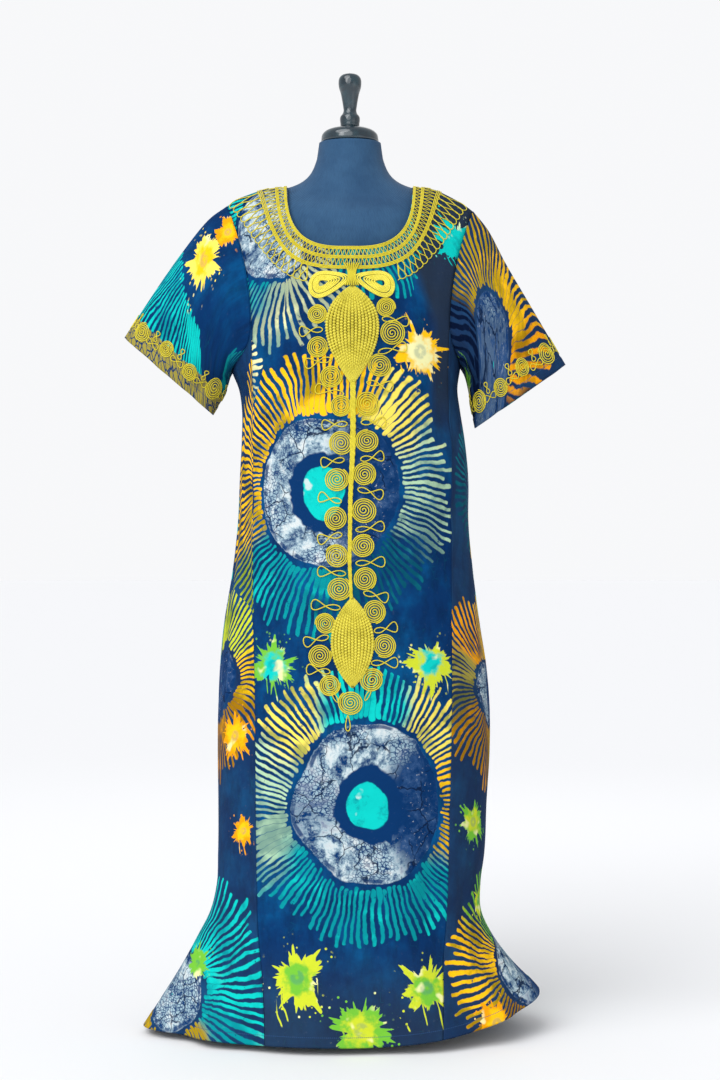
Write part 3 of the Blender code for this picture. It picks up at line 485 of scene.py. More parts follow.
def cloth_wall(name, outer, normal, uv, kept=None, closed=False, attributes=None):
    """Two grids a wall apart, joined by rims at the edges that only one cell uses."""
    rows, cols = outer.shape[:2]
    kept = np.ones((rows - 1, cols if closed else cols - 1), bool) if kept is None else kept
    i, j = np.nonzero(kept)
    k = (j + 1) % cols
    quad = np.stack([i * cols + j, i * cols + k, (i + 1) * cols + k, (i + 1) * cols + j], axis=1)
    corner = np.stack([uv[i, j], uv[i, j + 1], uv[i + 1, j + 1], uv[i + 1, j]], axis=1)
    middle, facing = outer.reshape(-1, 3)[quad[:, 0]], normal.reshape(-1, 3)[quad[:, 0]]
    a, b = outer.reshape(-1, 3)[quad[:, 1]] - middle, outer.reshape(-1, 3)[quad[:, 3]] - middle
    if np.sum(np.cross(a, b) * facing) < 0:
        quad, corner = quad[:, ::-1], corner[:, ::-1]
    ends = np.stack([quad, np.roll(quad, -1, axis=1)], axis=2).reshape(-1, 2)
    ends_uv = np.stack([corner, np.roll(corner, -1, axis=1)], axis=2).reshape(-1, 2, 2)
    key = ends.min(axis=1).astype(np.int64) * rows * cols + ends.max(axis=1)
    _, place, count = np.unique(key, return_index=True, return_counts=True)
    rim, rim_uv = ends[place[count == 1]], ends_uv[place[count == 1]]
    total = rows * cols
    faces = np.concatenate([
        quad, quad[:, ::-1] + total,
        np.stack([rim[:, 1], rim[:, 0], rim[:, 0] + total, rim[:, 1] + total], axis=1)])
    corners = np.concatenate([
        corner, corner[:, ::-1],
        np.stack([rim_uv[:, 1], rim_uv[:, 0], rim_uv[:, 0], rim_uv[:, 1]], axis=1)])
    points = np.concatenate([outer.reshape(-1, 3), (outer - WALL * normal).reshape(-1, 3)])
    inside = np.repeat([0.0, 1.0], total)
    used = np.zeros(2 * total, bool)
    used[faces.ravel()] = True
    index = np.cumsum(used) - 1
    extra = {"inside": inside[used]}
    for label, values in (attributes or {}).items():
        extra[label] = np.tile(values.reshape(-1), 2)[used]
    obj = piece_from(name, points[used], index[faces], corners, extra)
    area = np.linalg.norm(np.cross(a, b), axis=1).sum()
    print(name, len(faces) * 2, "triangles, cloth area %.3f m2" % area)
    return obj


# %% Where the points of a body panel lie
BODY_ROWS = 150
YOKE_ROWS = 46
HEM_ROWS = 9
HEM_SHARE = 0.022  # share of a column's length that the hem's closer rows take up
HEM_FOLD = 0.020
FOLD_EDGE = 0.002
FOLD_OUT = 0.0009  # how far the turned-up cloth carries the hem out


def even_neck_steps(count):
    """Shares of the neckline's drop that are evenly spaced along its curve."""
    t = np.linspace(0.0, 1.0, 6001) ** 2
    t = np.concatenate([t[t < 0.5], (1.0 - np.linspace(0.0, 0.5, 3001) ** 2 * 2)[::-1]])
    t = np.unique(np.clip(t, 0.0, 1.0))
    x, z = NECK_HALF_WIDTH * neck_width(t), NECK_DEPTH * t
    length = np.concatenate([[0.0], np.cumsum(np.hypot(np.diff(x), np.diff(z)))])
    return np.interp(np.linspace(0.0, length[-1], count), length, t)


def centre_columns(inner=36, outer=13):
    """Column numbers across the centre panel, whose tops are evenly spaced round the neckline."""
    in_neck = NECK_HALF_WIDTH * neck_width(even_neck_steps(inner)[::-1])
    sides = []
    for seam in (SEAM_LEFT, SEAM_RIGHT):
        wide = float(smooth(BODY, seam, GORE_TOP))
        rest = np.linspace(NECK_HALF_WIDTH, wide, outer + 1)[1:]
        sides.append(np.concatenate([in_neck, rest]) / wide)
    return np.concatenate([-sides[0][:0:-1], sides[1]])


def degrees_of(column, height, face):
    turn = np.degrees(angle_of(column, height))
    return turn if face < 0 else 180.0 - turn


def body_rows(columns, face):
    """Rows from the hem to the armhole: closer together in the hem, level by level above it."""
    rise = np.concatenate([np.linspace(0.0, HEM_SHARE, HEM_ROWS),
                           np.linspace(HEM_SHARE, 1.0, BODY_ROWS)[1:]])[:, None]
    even = columns.copy()
    inside = np.abs(columns) <= 1.0
    even[inside] = np.linspace(-1.0, 1.0, int(np.sum(inside)))
    across = even + (columns - even) * np.clip(rise * 1.25, 0.0, 1.0) ** 2
    hem = hem_height(across)
    height = hem + (panel_top(across) - hem) * rise
    return section_point(across, height, face), across, height, height - hem


def yoke_rows(columns, face):
    """Rows above the armhole's foot, each column ending at the neckline or the shoulder."""
    share = np.linspace(0.0, 1.0, YOKE_ROWS + 1)[1:, None]
    climb = climb_rows(columns[None, :], share, face)
    across = np.broadcast_to(columns, climb.shape)
    points = yoke_point(across, climb, face)
    return points, across, points[..., 2], slope_normal(yoke_point, across, climb, face)


def away(normal, points):
    """Turns each normal so that it points away from the dress's middle axis."""
    axis = np.zeros(points.shape)
    axis[..., 2] = np.minimum(points[..., 2], 1.20)
    flip = np.sign(np.sum(normal * (points - axis), axis=-1, keepdims=True))
    return normal * np.where(flip == 0, 1.0, flip)


def slope_normal(surface, column, level, face):
    """The cross product of a small step across and a small step up, turned outwards. Two panels
    that share a seam get the same normal there, so their creases meet without a gap."""
    wide = surface(column + 0.004, level, face) - surface(column - 0.004, level, face)
    low = np.maximum(level - 0.0008, 0.0)
    tall = surface(column, level + 0.0008, face) - surface(column, low, face)
    return away(unit(np.cross(wide, tall)), surface(column, level, face))


def fold_out(from_edge, fold):
    """The turned-up cloth under a hem carries it out, up to the fold's own width."""
    return FOLD_OUT * (1.0 - step(fold - FOLD_EDGE, fold, from_edge))


def draped(points, normal, degrees, height, above_hem, sunk=0.0):
    """The points moved out by the creases and by the fold of the hem. sunk carries a seam
    allowance in under its neighbour."""
    out = drape(degrees, height) + fold_out(above_hem, HEM_FOLD)
    moved = points + (out - sunk)[..., None] * normal
    return moved, away(grid_normals(moved), moved)


def unrolled(points, middle):
    """Distances along the cloth: across from the middle column, and up each column from the hem."""
    along, up = distances(points, 1), distances(points, 0)
    return np.stack([along - along[:, middle:middle + 1], up + points[0, :, 2]], axis=-1)


print("neck steps", np.round(even_neck_steps(6), 3))

# %% [markdown]
# ## The four body panels
# The front is a centre panel and two gores, and the back is one panel, as a dressmaker would cut
# them. Each keeps the distance from its own seams as an attribute, because the seam's pucker and
# its row of stitches follow the panel's edge and no coordinate of space does.


# %% Centre panel and gores
ALLOWANCE = 0.0075
TUCKED = 0.0019
FRONT_COLUMN, BACK_COLUMN = 0.165, 0.16  # metres of cloth to one column number
GROOVE = 0.0015  # how wide the seam's groove is


def seam_margin(points, tucked=0.0):
    """Distance along the cloth to the nearer side seam of a grid of points."""
    along = distances(points, 1)
    return np.minimum(along - tucked, along[:, -1:] - along)


def front_cloth():
    """The centre panel from hem to neckline, its side edges pressed into the seams."""
    columns = centre_columns()
    low, across, height, above = body_rows(columns, -1)
    high, over, tall, high_normal = yoke_rows(columns, -1)
    normal = np.concatenate([slope_normal(section_point, across, height, -1), high_normal])
    points = np.concatenate([low, high])
    high_up = np.concatenate([height, tall])
    degrees = degrees_of(np.concatenate([across, over]), high_up, -1)
    hem = np.concatenate([above, np.full(tall.shape, 1.0)])
    uv = unrolled(points, len(columns) // 2)
    sunk = 0.0005 * np.exp(-seam_margin(points) / GROOVE)
    points, normal = draped(points, normal, degrees, high_up, hem, sunk)
    return cloth_wall("front_cloth", points, normal, uv,
                      attributes={"margin": seam_margin(points), "hem": hem})


def gore_cloth(name, sign):
    """A gore's inner edge is its seam allowance, carried in under the centre panel."""
    numbers = np.concatenate([[1.0 - ALLOWANCE / FRONT_COLUMN], np.linspace(1.0005, 2.0, 46)])
    heights = body_rows(sign * numbers[1:], -1)
    across, height, above = (np.concatenate([grid[:, :1], grid], axis=1) for grid in heights[1:])
    across[:, 0] = sign * numbers[0]
    points = section_point(across, height, -1)
    uv = unrolled(points, 1) * (1.0 if sign > 0 else -1.0, 1.0)
    margin = seam_margin(points, ALLOWANCE)
    sunk = 0.0006 * np.exp(-np.maximum(margin, 0.0) / GROOVE)
    sunk[:, 0] = TUCKED
    normal = slope_normal(section_point, across, height, -1)
    points, normal = draped(points, normal, degrees_of(across, height, -1), height, above, sunk)
    return cloth_wall(name, points, normal, uv, attributes={"margin": margin, "hem": above})


front_piece = front_cloth()
gore_pieces = [gore_cloth("gore_cloth_left", -1), gore_cloth("gore_cloth_right", 1)]


# %% Back panel
def back_cloth(side=40):
    """The centre's columns with side columns on each hand, which stop at the underarm."""
    centre = centre_columns()
    outward = np.concatenate([np.linspace(1.0, 2.0, side)[1:], [2.0 + ALLOWANCE / BACK_COLUMN]])
    columns = np.concatenate([-outward[::-1], centre, outward])
    low, across, height, above = body_rows(columns, 1)
    high, over, tall, high_normal = yoke_rows(centre, 1)
    filler = [(0, 0), (side, side)]
    points = np.concatenate([low, np.pad(high, filler + [(0, 0)], mode="edge")])
    normal = np.concatenate([slope_normal(section_point, across, height, 1),
                             np.pad(high_normal, filler + [(0, 0)], mode="edge")])
    across = np.concatenate([across, np.pad(over, filler, mode="edge")])
    height = np.concatenate([height, np.pad(tall, filler, mode="edge")])
    hem = np.concatenate([above, np.full((YOKE_ROWS, len(columns)), 1.0)])
    kept = np.ones((points.shape[0] - 1, points.shape[1] - 1), bool)
    kept[len(low) - 1:, :side] = False
    kept[len(low) - 1:, -side:] = False
    uv = unrolled(points, len(columns) // 2)
    sunk = np.zeros(height.shape)
    sunk[:, 0] = sunk[:, -1] = TUCKED
    # Above the armhole the grid has no cloth beside the centre, so the creases move its points
    # along the surface's own normals, and the wall's inner grid follows the same ones.
    points = draped(points, normal, degrees_of(across, height, 1), height, hem, sunk)[0]
    return cloth_wall("back_cloth", points, normal, uv, kept,
                      attributes={"margin": seam_margin(points), "hem": hem})


back_piece = back_cloth()

# %% [markdown]
# ## The sleeves
# Each sleeve is a tube lofted from the armhole to the cuff. Its ovals stand on the table's upper
# and under edges, and the armhole's own shape fades out along it. The creases fan out from under
# the arm, where such a wide sleeve folds on itself.

# %% Sleeve surface
SLEEVE_DEGREE = 0.0022  # metres of cloth to a degree round the sleeve
SLEEVE_LENGTH = 0.26
SLEEVE_ALLOWANCE = 0.006
SLEEVE_TUCK = 0.0022
# share of the length and turn (degrees from the top, minus in front) where a crease starts, the
# same where it ends, its width and depth
SLEEVE_CREASES = (
    (0.02, -150, 0.95, -60, 0.020, -0.0042), (0.05, -120, 1.05, -28, 0.020, 0.0036),
    (0.02, -95, 0.80, -8, 0.016, -0.0028), (0.10, -168, 1.05, -118, 0.016, -0.0036),
    (0.30, -20, 1.05, -14, 0.018, -0.0020), (0.00, 150, 0.95, 66, 0.020, -0.0040),
    (0.05, 122, 1.05, 34, 0.020, 0.0034), (0.05, 95, 0.80, 14, 0.016, -0.0026),
    (0.10, 166, 1.05, 116, 0.016, -0.0034), (0.45, -85, 1.05, -80, 0.014, 0.0026),
)
CUFF_FOLD = 0.018


def armhole(sign, yoke=22, gore=16):
    """The armhole's outline from the shoulder down the front, under the arm and up the back."""
    share = np.linspace(1.0, 0.0, yoke + 1)
    at_seam = np.full(share.shape, float(sign))
    low = sign * np.linspace(1.0, 2.0, gore + 1)
    halves = []
    for face in (-1, 1):
        upper = yoke_point(at_seam, climb_rows(at_seam, share, face), face)
        hem = hem_height(low)
        lower = section_point(low, hem + (panel_top(low) - hem), face)
        half = np.concatenate([upper, lower[1:]])
        halves.append(half if face < 0 else half[::-1][1:-1])
    return np.concatenate(halves)


def sleeve_surface(sign, table, rings=84):
    """Ovals from the armhole to the cuff: middle + cosine of the turn up + sine of it in depth."""
    hole = armhole(sign)
    along = np.linspace(0.0, 1.0, rings)[:, None, None]
    edge = [smooth(table, column, along[:, 0, 0]) for column in range(1, 6)]
    zero = np.zeros(rings)
    top = np.stack([sign * edge[0], zero, edge[1]], axis=1)[:, None]
    under = np.stack([sign * edge[2], zero, edge[3]], axis=1)[:, None]
    middle, major = (top + under) / 2, (top - under) / 2
    deep = np.stack([zero, edge[4], zero], axis=1)[:, None]
    lift = (hole - middle[0]) @ major[0, 0] / (major[0, 0] @ major[0, 0])
    turn = np.arctan2(hole[:, 1] / deep[0, 0, 1], lift)
    oval = middle + np.cos(turn)[:, None] * major + np.sin(turn)[:, None] * deep
    points = oval + (1.0 - along) ** 3 * (hole - oval[0])
    points[..., 0] += sign * 0.0002
    return points, turn


def sleeve_grid(sign, table):
    """The sleeve with its creases. Its columns start under the arm, so that the map's join lies
    there: u is 0 along the top fold, above 0 on the front and below 0 on the back."""
    points, turn = sleeve_surface(sign, table)
    normal = grid_normals(points, closed=True)
    middle = points.mean(axis=1, keepdims=True)
    normal = normal * np.sign(np.sum(normal * (points - middle), axis=2, keepdims=True))
    lengths = distances(points, 0)
    from_cuff = lengths[-1:] - lengths
    along = np.linspace(0.0, 1.0, len(points))[:, None]
    degrees = np.degrees(turn)[None, :]
    out = np.zeros(points.shape[:2])
    for start, first, end, last, width, depth in SLEEVE_CREASES:
        for round_again in (0.0, 360.0, -360.0):
            line = (SLEEVE_DEGREE * (first + round_again), SLEEVE_LENGTH * start,
                    SLEEVE_DEGREE * (last + round_again), SLEEVE_LENGTH * end, width)
            out = out + depth * near_line(
                SLEEVE_DEGREE * degrees, SLEEVE_LENGTH * along, line, end > 1.0)
    out = out * step(0.03, 0.30, along)
    out = out + fold_out(from_cuff, CUFF_FOLD)
    points = points + out[..., None] * normal
    half = points.shape[1] // 2
    points, normal, lengths, from_cuff = (
        np.roll(grid, -half, axis=1) for grid in (points, normal, lengths, from_cuff))
    wrapped = np.concatenate([points, points[:, :1]], axis=1)
    across = distances(wrapped, 1)
    down = np.concatenate([lengths, lengths[:, :1]], axis=1)
    uv = np.stack([across - across[:, half:half + 1], down], axis=-1)
    return points, normal, uv, from_cuff, lengths


def with_allowance(grid, sign):
    """One more ring before the first: further in towards the body and a little smaller."""
    points, normal, uv, from_cuff, lengths = grid
    first = points[:1]
    inward = unit(first.mean(axis=1, keepdims=True) - first) * SLEEVE_TUCK
    tucked = first + inward - np.array((sign * SLEEVE_ALLOWANCE, 0.0, 0.0))
    return (np.concatenate([tucked, points]), np.concatenate([normal[:1], normal]),
            np.concatenate([uv[:1] - (0.0, SLEEVE_ALLOWANCE), uv]),
            np.concatenate([from_cuff[:1] + SLEEVE_ALLOWANCE, from_cuff]),
            np.concatenate([lengths[:1] - SLEEVE_ALLOWANCE, lengths]))


def sleeve_cloth(name, sign, table):
    points, normal, uv, from_cuff, lengths = with_allowance(sleeve_grid(sign, table), sign)
    return cloth_wall(name, points, normal, uv, closed=True,
                      attributes={"margin": lengths, "hem": from_cuff})


sleeve_pieces = [sleeve_cloth("sleeve_cloth_left", -1, SLEEVE_LEFT),
                 sleeve_cloth("sleeve_cloth_right", 1, SLEEVE_RIGHT)]

# %% [markdown]
# ## Cord couched on cloth
# The yellow ornament is a cord laid on the cloth and sewn down: three cords round the neck, a
# ladder of zigzag stitches between them, loops, coils and a stem. Painting it on would look flat
# from the side, so each line is a real tube. A tube is a circle carried along a path, and its
# sides need the cloth's own normal, so every path is first laid on the cloth.

# %% Laying points on the cloth
LEAN = 0.9  # how far a crease's way out turns aside with the roundness of the body


def normal_of(surface, a, b, small):
    """The cross product of a small step in a and a small step in b."""
    return unit(np.cross(surface(a + small, b) - surface(a - small, b),
                         surface(a, b + small) - surface(a, b - small)))


def lay(surface, a, b, lift):
    """Points of a surface(a, b) lifted along its normal, which is turned away from the middle."""
    normal = away(normal_of(surface, a, b, 0.0004), surface(a, b))
    return surface(a, b) + np.asarray(lift)[..., None] * normal, normal


def front_cover(x, z):
    """The front with its creases, over a place x, z."""
    base = front_point(x, z)
    wide = body_value(LEFT, RIGHT, x, np.minimum(z, GORE_TOP))
    degrees = np.degrees(np.arcsin(np.clip(x / wide, -1, 1)))
    out = drape(degrees, z)[..., None]
    return base + out * unit(np.stack([x / wide * LEAN, -np.ones(np.shape(x)), 0 * x], axis=-1))


def neck_cover(face):
    """The cloth round the neck: along runs from -1 to 1 between the shoulders, across goes
    outward. The table holds shares of the neckline's drop, evenly spaced along its curve."""
    count = 400
    if face < 0:
        drop, table = FRONT_NECK_DROP, even_neck_steps(count)
    else:
        drop, table = BACK_NECK_DROP, np.linspace(0.0, 1.0, count) ** 1.6
        wide = NECK_HALF_WIDTH * neck_width(table)
        length = np.concatenate([[0], np.cumsum(np.hypot(np.diff(wide), 0.05 * np.diff(table)))])
        table = np.interp(np.linspace(0, length[-1], count), length, table)

    def cover(along, across):
        share = np.clip(1.0 - np.abs(along), 0.0, 1.0)
        steps = np.interp(share, np.linspace(0, 1, count), table)
        foot = (NECK_HALF_WIDTH + BAND_WIDTH * across) * np.sign(along) * neck_width(steps)
        climb = np.clip(1.0 - (drop + BAND_DROP * across) * steps, 0.0, 1.0)
        level = np.full(np.shape(foot), GORE_TOP)
        points = yoke_point(foot / body_value(SEAM_LEFT, SEAM_RIGHT, foot, level), climb, face)
        wide = body_value(LEFT, RIGHT, foot, level)
        turn = np.degrees(np.arcsin(np.clip(points[..., 0] / wide, -1, 1)))
        out = drape(turn if face < 0 else 180.0 - turn, points[..., 2])[..., None]
        lean = np.stack([points[..., 0] / wide * LEAN, face * np.ones(foot.shape), 0 * foot], -1)
        points[..., 1] += face * SEAM / 2
        return points + out * unit(lean)

    return cover


# %% Tubes of thread
SIDES = 6
MAP_RADIUS = 0.001  # the map's second number is the turn round a cord times this


def cord_parts(points, normal, radius, closed=False):
    """A hexagon carried along each path of an (m, n, 3) array, with flat ends of two faces."""
    radius = np.broadcast_to(np.asarray(radius, float), points.shape[:2])
    ahead = unit(np.gradient(points, axis=1))
    if closed:
        ahead = unit(np.roll(points, -1, axis=1) - np.roll(points, 1, axis=1))
    side = unit(np.cross(ahead, normal))
    up = unit(np.cross(side, ahead))
    turn = np.arange(SIDES) * 2 * math.pi / SIDES
    ring = (np.cos(turn)[:, None] * side[:, :, None] + np.sin(turn)[:, None] * up[:, :, None])
    verts = points[:, :, None] + radius[..., None, None] * ring
    m, n = points.shape[:2]
    start = distances(points, 1)
    index = np.arange(m * n * SIDES).reshape(m, n, SIDES)
    if closed:
        before, after = index, np.roll(index, -1, axis=1)
        reach = np.concatenate([start[:, 1:], start[:, -1:] + 0.001], axis=1)
    else:
        before, after = index[:, :-1], index[:, 1:]
        start, reach = start[:, :-1], start[:, 1:]
    quads = np.stack([before, np.roll(before, -1, axis=2), np.roll(after, -1, axis=2), after], -1)
    u = np.stack([start, start, reach, reach], axis=-1)[:, :, None, :]
    v = np.stack([turn, turn + turn[1], turn + turn[1], turn], axis=-1)[None, None] * MAP_RADIUS
    uv = np.stack(np.broadcast_arrays(u, v), axis=-1)
    faces, uvs = [quads.reshape(-1, 4)], [uv.reshape(-1, 4, 2)]
    if not closed:
        for end, order in ((index[:, 0], (3, 2, 1, 0)), (index[:, -1], (0, 1, 2, 3))):
            for first in (0, SIDES // 2):
                faces.append(end[:, [(first + k) % SIDES for k in order]])
                uvs.append(np.zeros((m, 4, 2)))
    return verts.reshape(-1, 3), np.concatenate(faces), np.concatenate(uvs)


def sewn(name, parts, under=0):
    """One object out of many parts, each (points, faces, uv). The last ones take a second slot."""
    shift = np.cumsum([0] + [len(p[0]) for p in parts[:-1]])
    obj = piece_from(name, np.concatenate([p[0] for p in parts]),
                     np.concatenate([p[1] + s for p, s in zip(parts, shift)]),
                     np.concatenate([p[2] for p in parts]))
    slots = np.repeat([int(k >= len(parts) - under) for k in range(len(parts))],
                      [len(p[1]) for p in parts]).astype(np.int32)
    obj.data.polygons.foreach_set("material_index", slots)
    print(name, sum(len(p[1]) for p in parts) * 2, "triangles")
    return obj


def laid_cord(surface, a, b, radius, closed=False, lift=0.0):
    """A tube along the places a, b of a surface, a quarter of its radius pressed into the cloth."""
    points, normal = lay(surface, a, b, radius * 0.75 + lift)
    if points.ndim == 2:
        points, normal = points[None], normal[None]
    return cord_parts(points, normal, radius, closed)


# %% [markdown]
# ## Embroidery round the neck
# Three lines of cord run round the neck, each of three threads side by side. Two ladders of
# zigzag stitches fill the space between them, and a row of linked figure-of-eight loops hangs
# outside. Every line is a path in the neck's own coordinates, so the back half is made by the same
# few rows as the front half.

# %% Neck cords, ladders and loops
NECK_THREAD, LADDER_THREAD, LOOP_THREAD = 0.00098, 0.00062, 0.00080
NECK_LINES = (0.09, 0.52, 1.0)
LADDERS = ((0.16, 0.45), (0.59, 0.92))
ZIGZAG = 0.0078
SHARPNESS = 0.96  # near 1 a zigzag's corners are sharp


def flare(along, outermost=True):
    """The outermost rows widen towards the shoulders, as the cube of the way along."""
    return (0.16 if outermost else 0.0) * np.abs(along) ** 3


def neck_parts(face):
    """Three lines of three threads, and a zigzag in each of the two spaces between them."""
    cover = neck_cover(face)
    parts = []
    along = np.linspace(-1.0, 1.0, 420)
    for line in NECK_LINES:
        for thread in (-1, 0, 1):
            where = line + 0.055 * thread + flare(along, line == NECK_LINES[-1])
            parts.append(laid_cord(cover, along, where, NECK_THREAD))
    length = 0.47 if face < 0 else 0.30
    for inner, outer in LADDERS:
        zigzags = int(length * (1.0 + 0.25 * inner) / ZIGZAG)
        t = np.linspace(0.0, zigzags * 2 * math.pi, zigzags * 12)
        wave = np.arcsin(SHARPNESS * np.sin(t)) / math.asin(SHARPNESS)
        wide = outer + flare(np.linspace(-1, 1, t.size), outer == LADDERS[-1][1])
        across = (inner + wide) / 2 + (wide - inner) / 2 * wave
        parts.append(laid_cord(cover, np.linspace(-0.995, 0.995, t.size), across, LADDER_THREAD))
    return parts


def neck_loops(face):
    """A path that crosses itself: out and back as 1 - cos t, to and fro as the sine of 2t."""
    cover = neck_cover(face)
    loops = 46 if face < 0 else 30
    t = np.linspace(0.0, loops * 2 * math.pi, loops * 26)
    middle = np.linspace(-0.985, 0.985, t.size)
    pitch = 1.97 / loops
    along = middle + 0.42 * pitch * np.sin(2 * t)
    across = 1.06 + flare(middle) + (0.36 + 0.06 * np.abs(middle)) * (1.0 - np.cos(t))
    points, normal = lay(cover, along, across, 0.0006)
    if face < 0:
        # The bow covers the middle, so the loops stop on each side of it.
        left, right = points[:, 0] < -0.068, points[:, 0] > 0.078
        return [cord_parts(points[s][None], normal[s][None], LOOP_THREAD) for s in (left, right)]
    return [cord_parts(points[None], normal[None], LOOP_THREAD)]


neck_front = sewn("neck_cords_front", neck_parts(-1) + neck_loops(-1))
neck_back = sewn("neck_cords_back", neck_parts(1) + neck_loops(1))

# %% [markdown]
# ## Bow, ovals and stem
# Under the neck two teardrops of close-laid cord make a bow. Below it hang a large pointed oval, a
# straight stem and a smaller oval, both filled with rows of chain stitch. A chain stitch is a row
# of links that swell and pinch, so the radius of each thread rises and falls along its length.

# %% Bow loops
# across, height, half-width and half-height, and for an oval how low its widest place lies
UPPER_OVAL = (0.0045, 1.1621, 0.0424, 0.0825, 0.015)
LOWER_OVAL = (0.0047, 0.6616, 0.0334, 0.0744, 0.000)
BOW_LEFT = (-0.0386, 1.2460, 0.0270, 0.0245)
BOW_RIGHT = (0.0455, 1.2470, 0.0270, 0.0240)
BOW_SHARES = (1.0, 0.905, 0.81, 0.66, 0.565, 0.47, 0.375, 0.28)
BOW_THREAD = 0.00135
UNDER = 0.0006  # how far a loop that crosses other cords is lifted


def teardrop(sizes, sign, share, points=96):
    """An oval drawn out to a raised point at its inner end, shrunk towards a focus by share."""
    across, height, half_width, half_height = sizes
    t = np.linspace(0, 2 * math.pi, points, endpoint=False)
    along = np.cos(t)
    inner = (1.0 - along) / 2.0
    tall = half_height * np.sin(t) * (1.10 - 0.62 * inner)
    x, z = half_width * along - 0.010 * inner**3, -0.004 * along + 0.006 * inner**3 + tall
    return (across + sign * (0.007 + share * (x - 0.007)), height + 0.0015 + share * (z - 0.0015))


def bow_parts(sizes, sign):
    return [laid_cord(front_cover, *teardrop(sizes, sign, share), BOW_THREAD, True, UNDER)
            for share in BOW_SHARES]


bow_left = sewn("bow_cords_left", bow_parts(BOW_LEFT, -1))
bow_right = sewn("bow_cords_right", bow_parts(BOW_RIGHT, 1))


# %% Chain-stitched ovals
DOME = 0.0018
TIP = 0.985  # the rows stop this near to the oval's tips


def leaf_half_width(sizes, share):
    """Half-width at a share of the half-height: a power of one minus its square, wide low down."""
    half_width, half_height, widest = sizes[2:]
    bend = share - widest / half_height * (1.0 - share**2)
    return half_width * np.clip(1.0 - bend**2, 0.0, 1.0) ** 0.95


def oval_parts(sizes, columns=15, link=0.0046):
    """Rows of chain stitch from tip to tip, spread over a padded leaf shape."""
    across, height, _, half_height, _ = sizes
    share = np.linspace(-TIP, TIP, int(2 * half_height / link) * 6)
    wide = leaf_half_width(sizes, share)
    rows = np.linspace(-1.0, 1.0, columns)
    x = across + wide * rows[:, None] * 0.97
    z = np.broadcast_to(height + half_height * share, x.shape)
    phase = np.where(np.arange(columns) % 2, math.pi / 2, 0.0)[:, None]
    swell = np.abs(np.sin(math.pi * (share * half_height / link)[None, :] + phase))
    dome = DOME * np.sqrt(np.clip(1.0 - (rows[:, None] * 0.97) ** 2, 0.0, 1.0)) * np.minimum(
        1.0, 8 * (1.0 - np.abs(share)))
    radius = np.minimum(0.62 * wide / (columns - 1) * 2, 0.0030) * (0.50 + 0.50 * swell) + 0.0002
    points, normal = lay(front_cover, x, z, 0.0006 + dome + 0.3 * radius)
    threads = cord_parts(points, normal, radius)
    # The padding under the threads is a domed grid of the same outline, in a dark colour that
    # paints the shade in the gaps between the stitches.
    grid_rows, grid = np.linspace(-1.0, 1.0, 25), np.linspace(-TIP, TIP, 60)
    wide = leaf_half_width(sizes, grid)
    x = across + wide[:, None] * grid_rows
    z = np.broadcast_to((height + half_height * grid)[:, None], x.shape)
    dome = DOME * np.sqrt(np.clip(1.0 - grid_rows**2, 0.0, 1.0)) * np.ones(x.shape)
    points, normal = lay(front_cover, x, z, 0.0004 + dome)
    index = np.arange(x.size).reshape(x.shape)
    faces = np.stack([index[:-1, :-1], index[:-1, 1:], index[1:, 1:], index[1:, :-1]], axis=-1)
    faces = faces.reshape(-1, 4)
    uv = np.stack([x, z], axis=-1).reshape(-1, 2)[faces]
    return [threads, (points.reshape(-1, 3), faces, uv)]


upper_leaf = sewn("oval_stitches_upper", oval_parts(UPPER_OVAL), under=1)
lower_leaf = sewn("oval_stitches_lower", oval_parts(LOWER_OVAL, 13), under=1)


# %% Stem
# height, middle and half-width of the stem, from its foot up
STEM = np.array((
    (0.7345, 0.0027, 0.0022), (0.7916, 0.0000, 0.0026), (0.8996, 0.0015, 0.0032),
    (0.9810, 0.0055, 0.0038), (1.0300, 0.0058, 0.0040), (1.0812, 0.0054, 0.0040),
))


def stem_parts(points=260):
    """Four threads side by side, each crossing over its neighbour as the sine of the height."""
    z = np.linspace(0.7300, 1.0850, points)
    thread = np.linspace(-1.0, 1.0, 4)[:, None]
    middle, half = np.interp(z, STEM[:, 0], STEM[:, 1]), np.interp(z, STEM[:, 0], STEM[:, 2])
    sway = np.sin(z * 2 * math.pi / 0.011 + thread * math.pi / 2)
    x = middle + half * (0.72 * thread + 0.10 * sway)
    points, normal = lay(front_cover, x, np.broadcast_to(z, x.shape), 0.0012 + 0.0004 * sway)
    return [cord_parts(points, normal, np.broadcast_to(0.36 * half + 0.0003, x.shape))]


stem_piece = sewn("stem_cords", stem_parts())

# %% [markdown]
# ## Coils and linking loops
# Pairs of small coils climb both sides of the stem and the ovals, one cord wound four or five
# times and joined to the next coil by a crossed loop. They were sewn by hand, so no two are the
# same size or stand at the same height. Their places are a table, and one rule winds each coil:
# the radius falls as the turn goes on, slowly at first, so that the outer turns lie close.

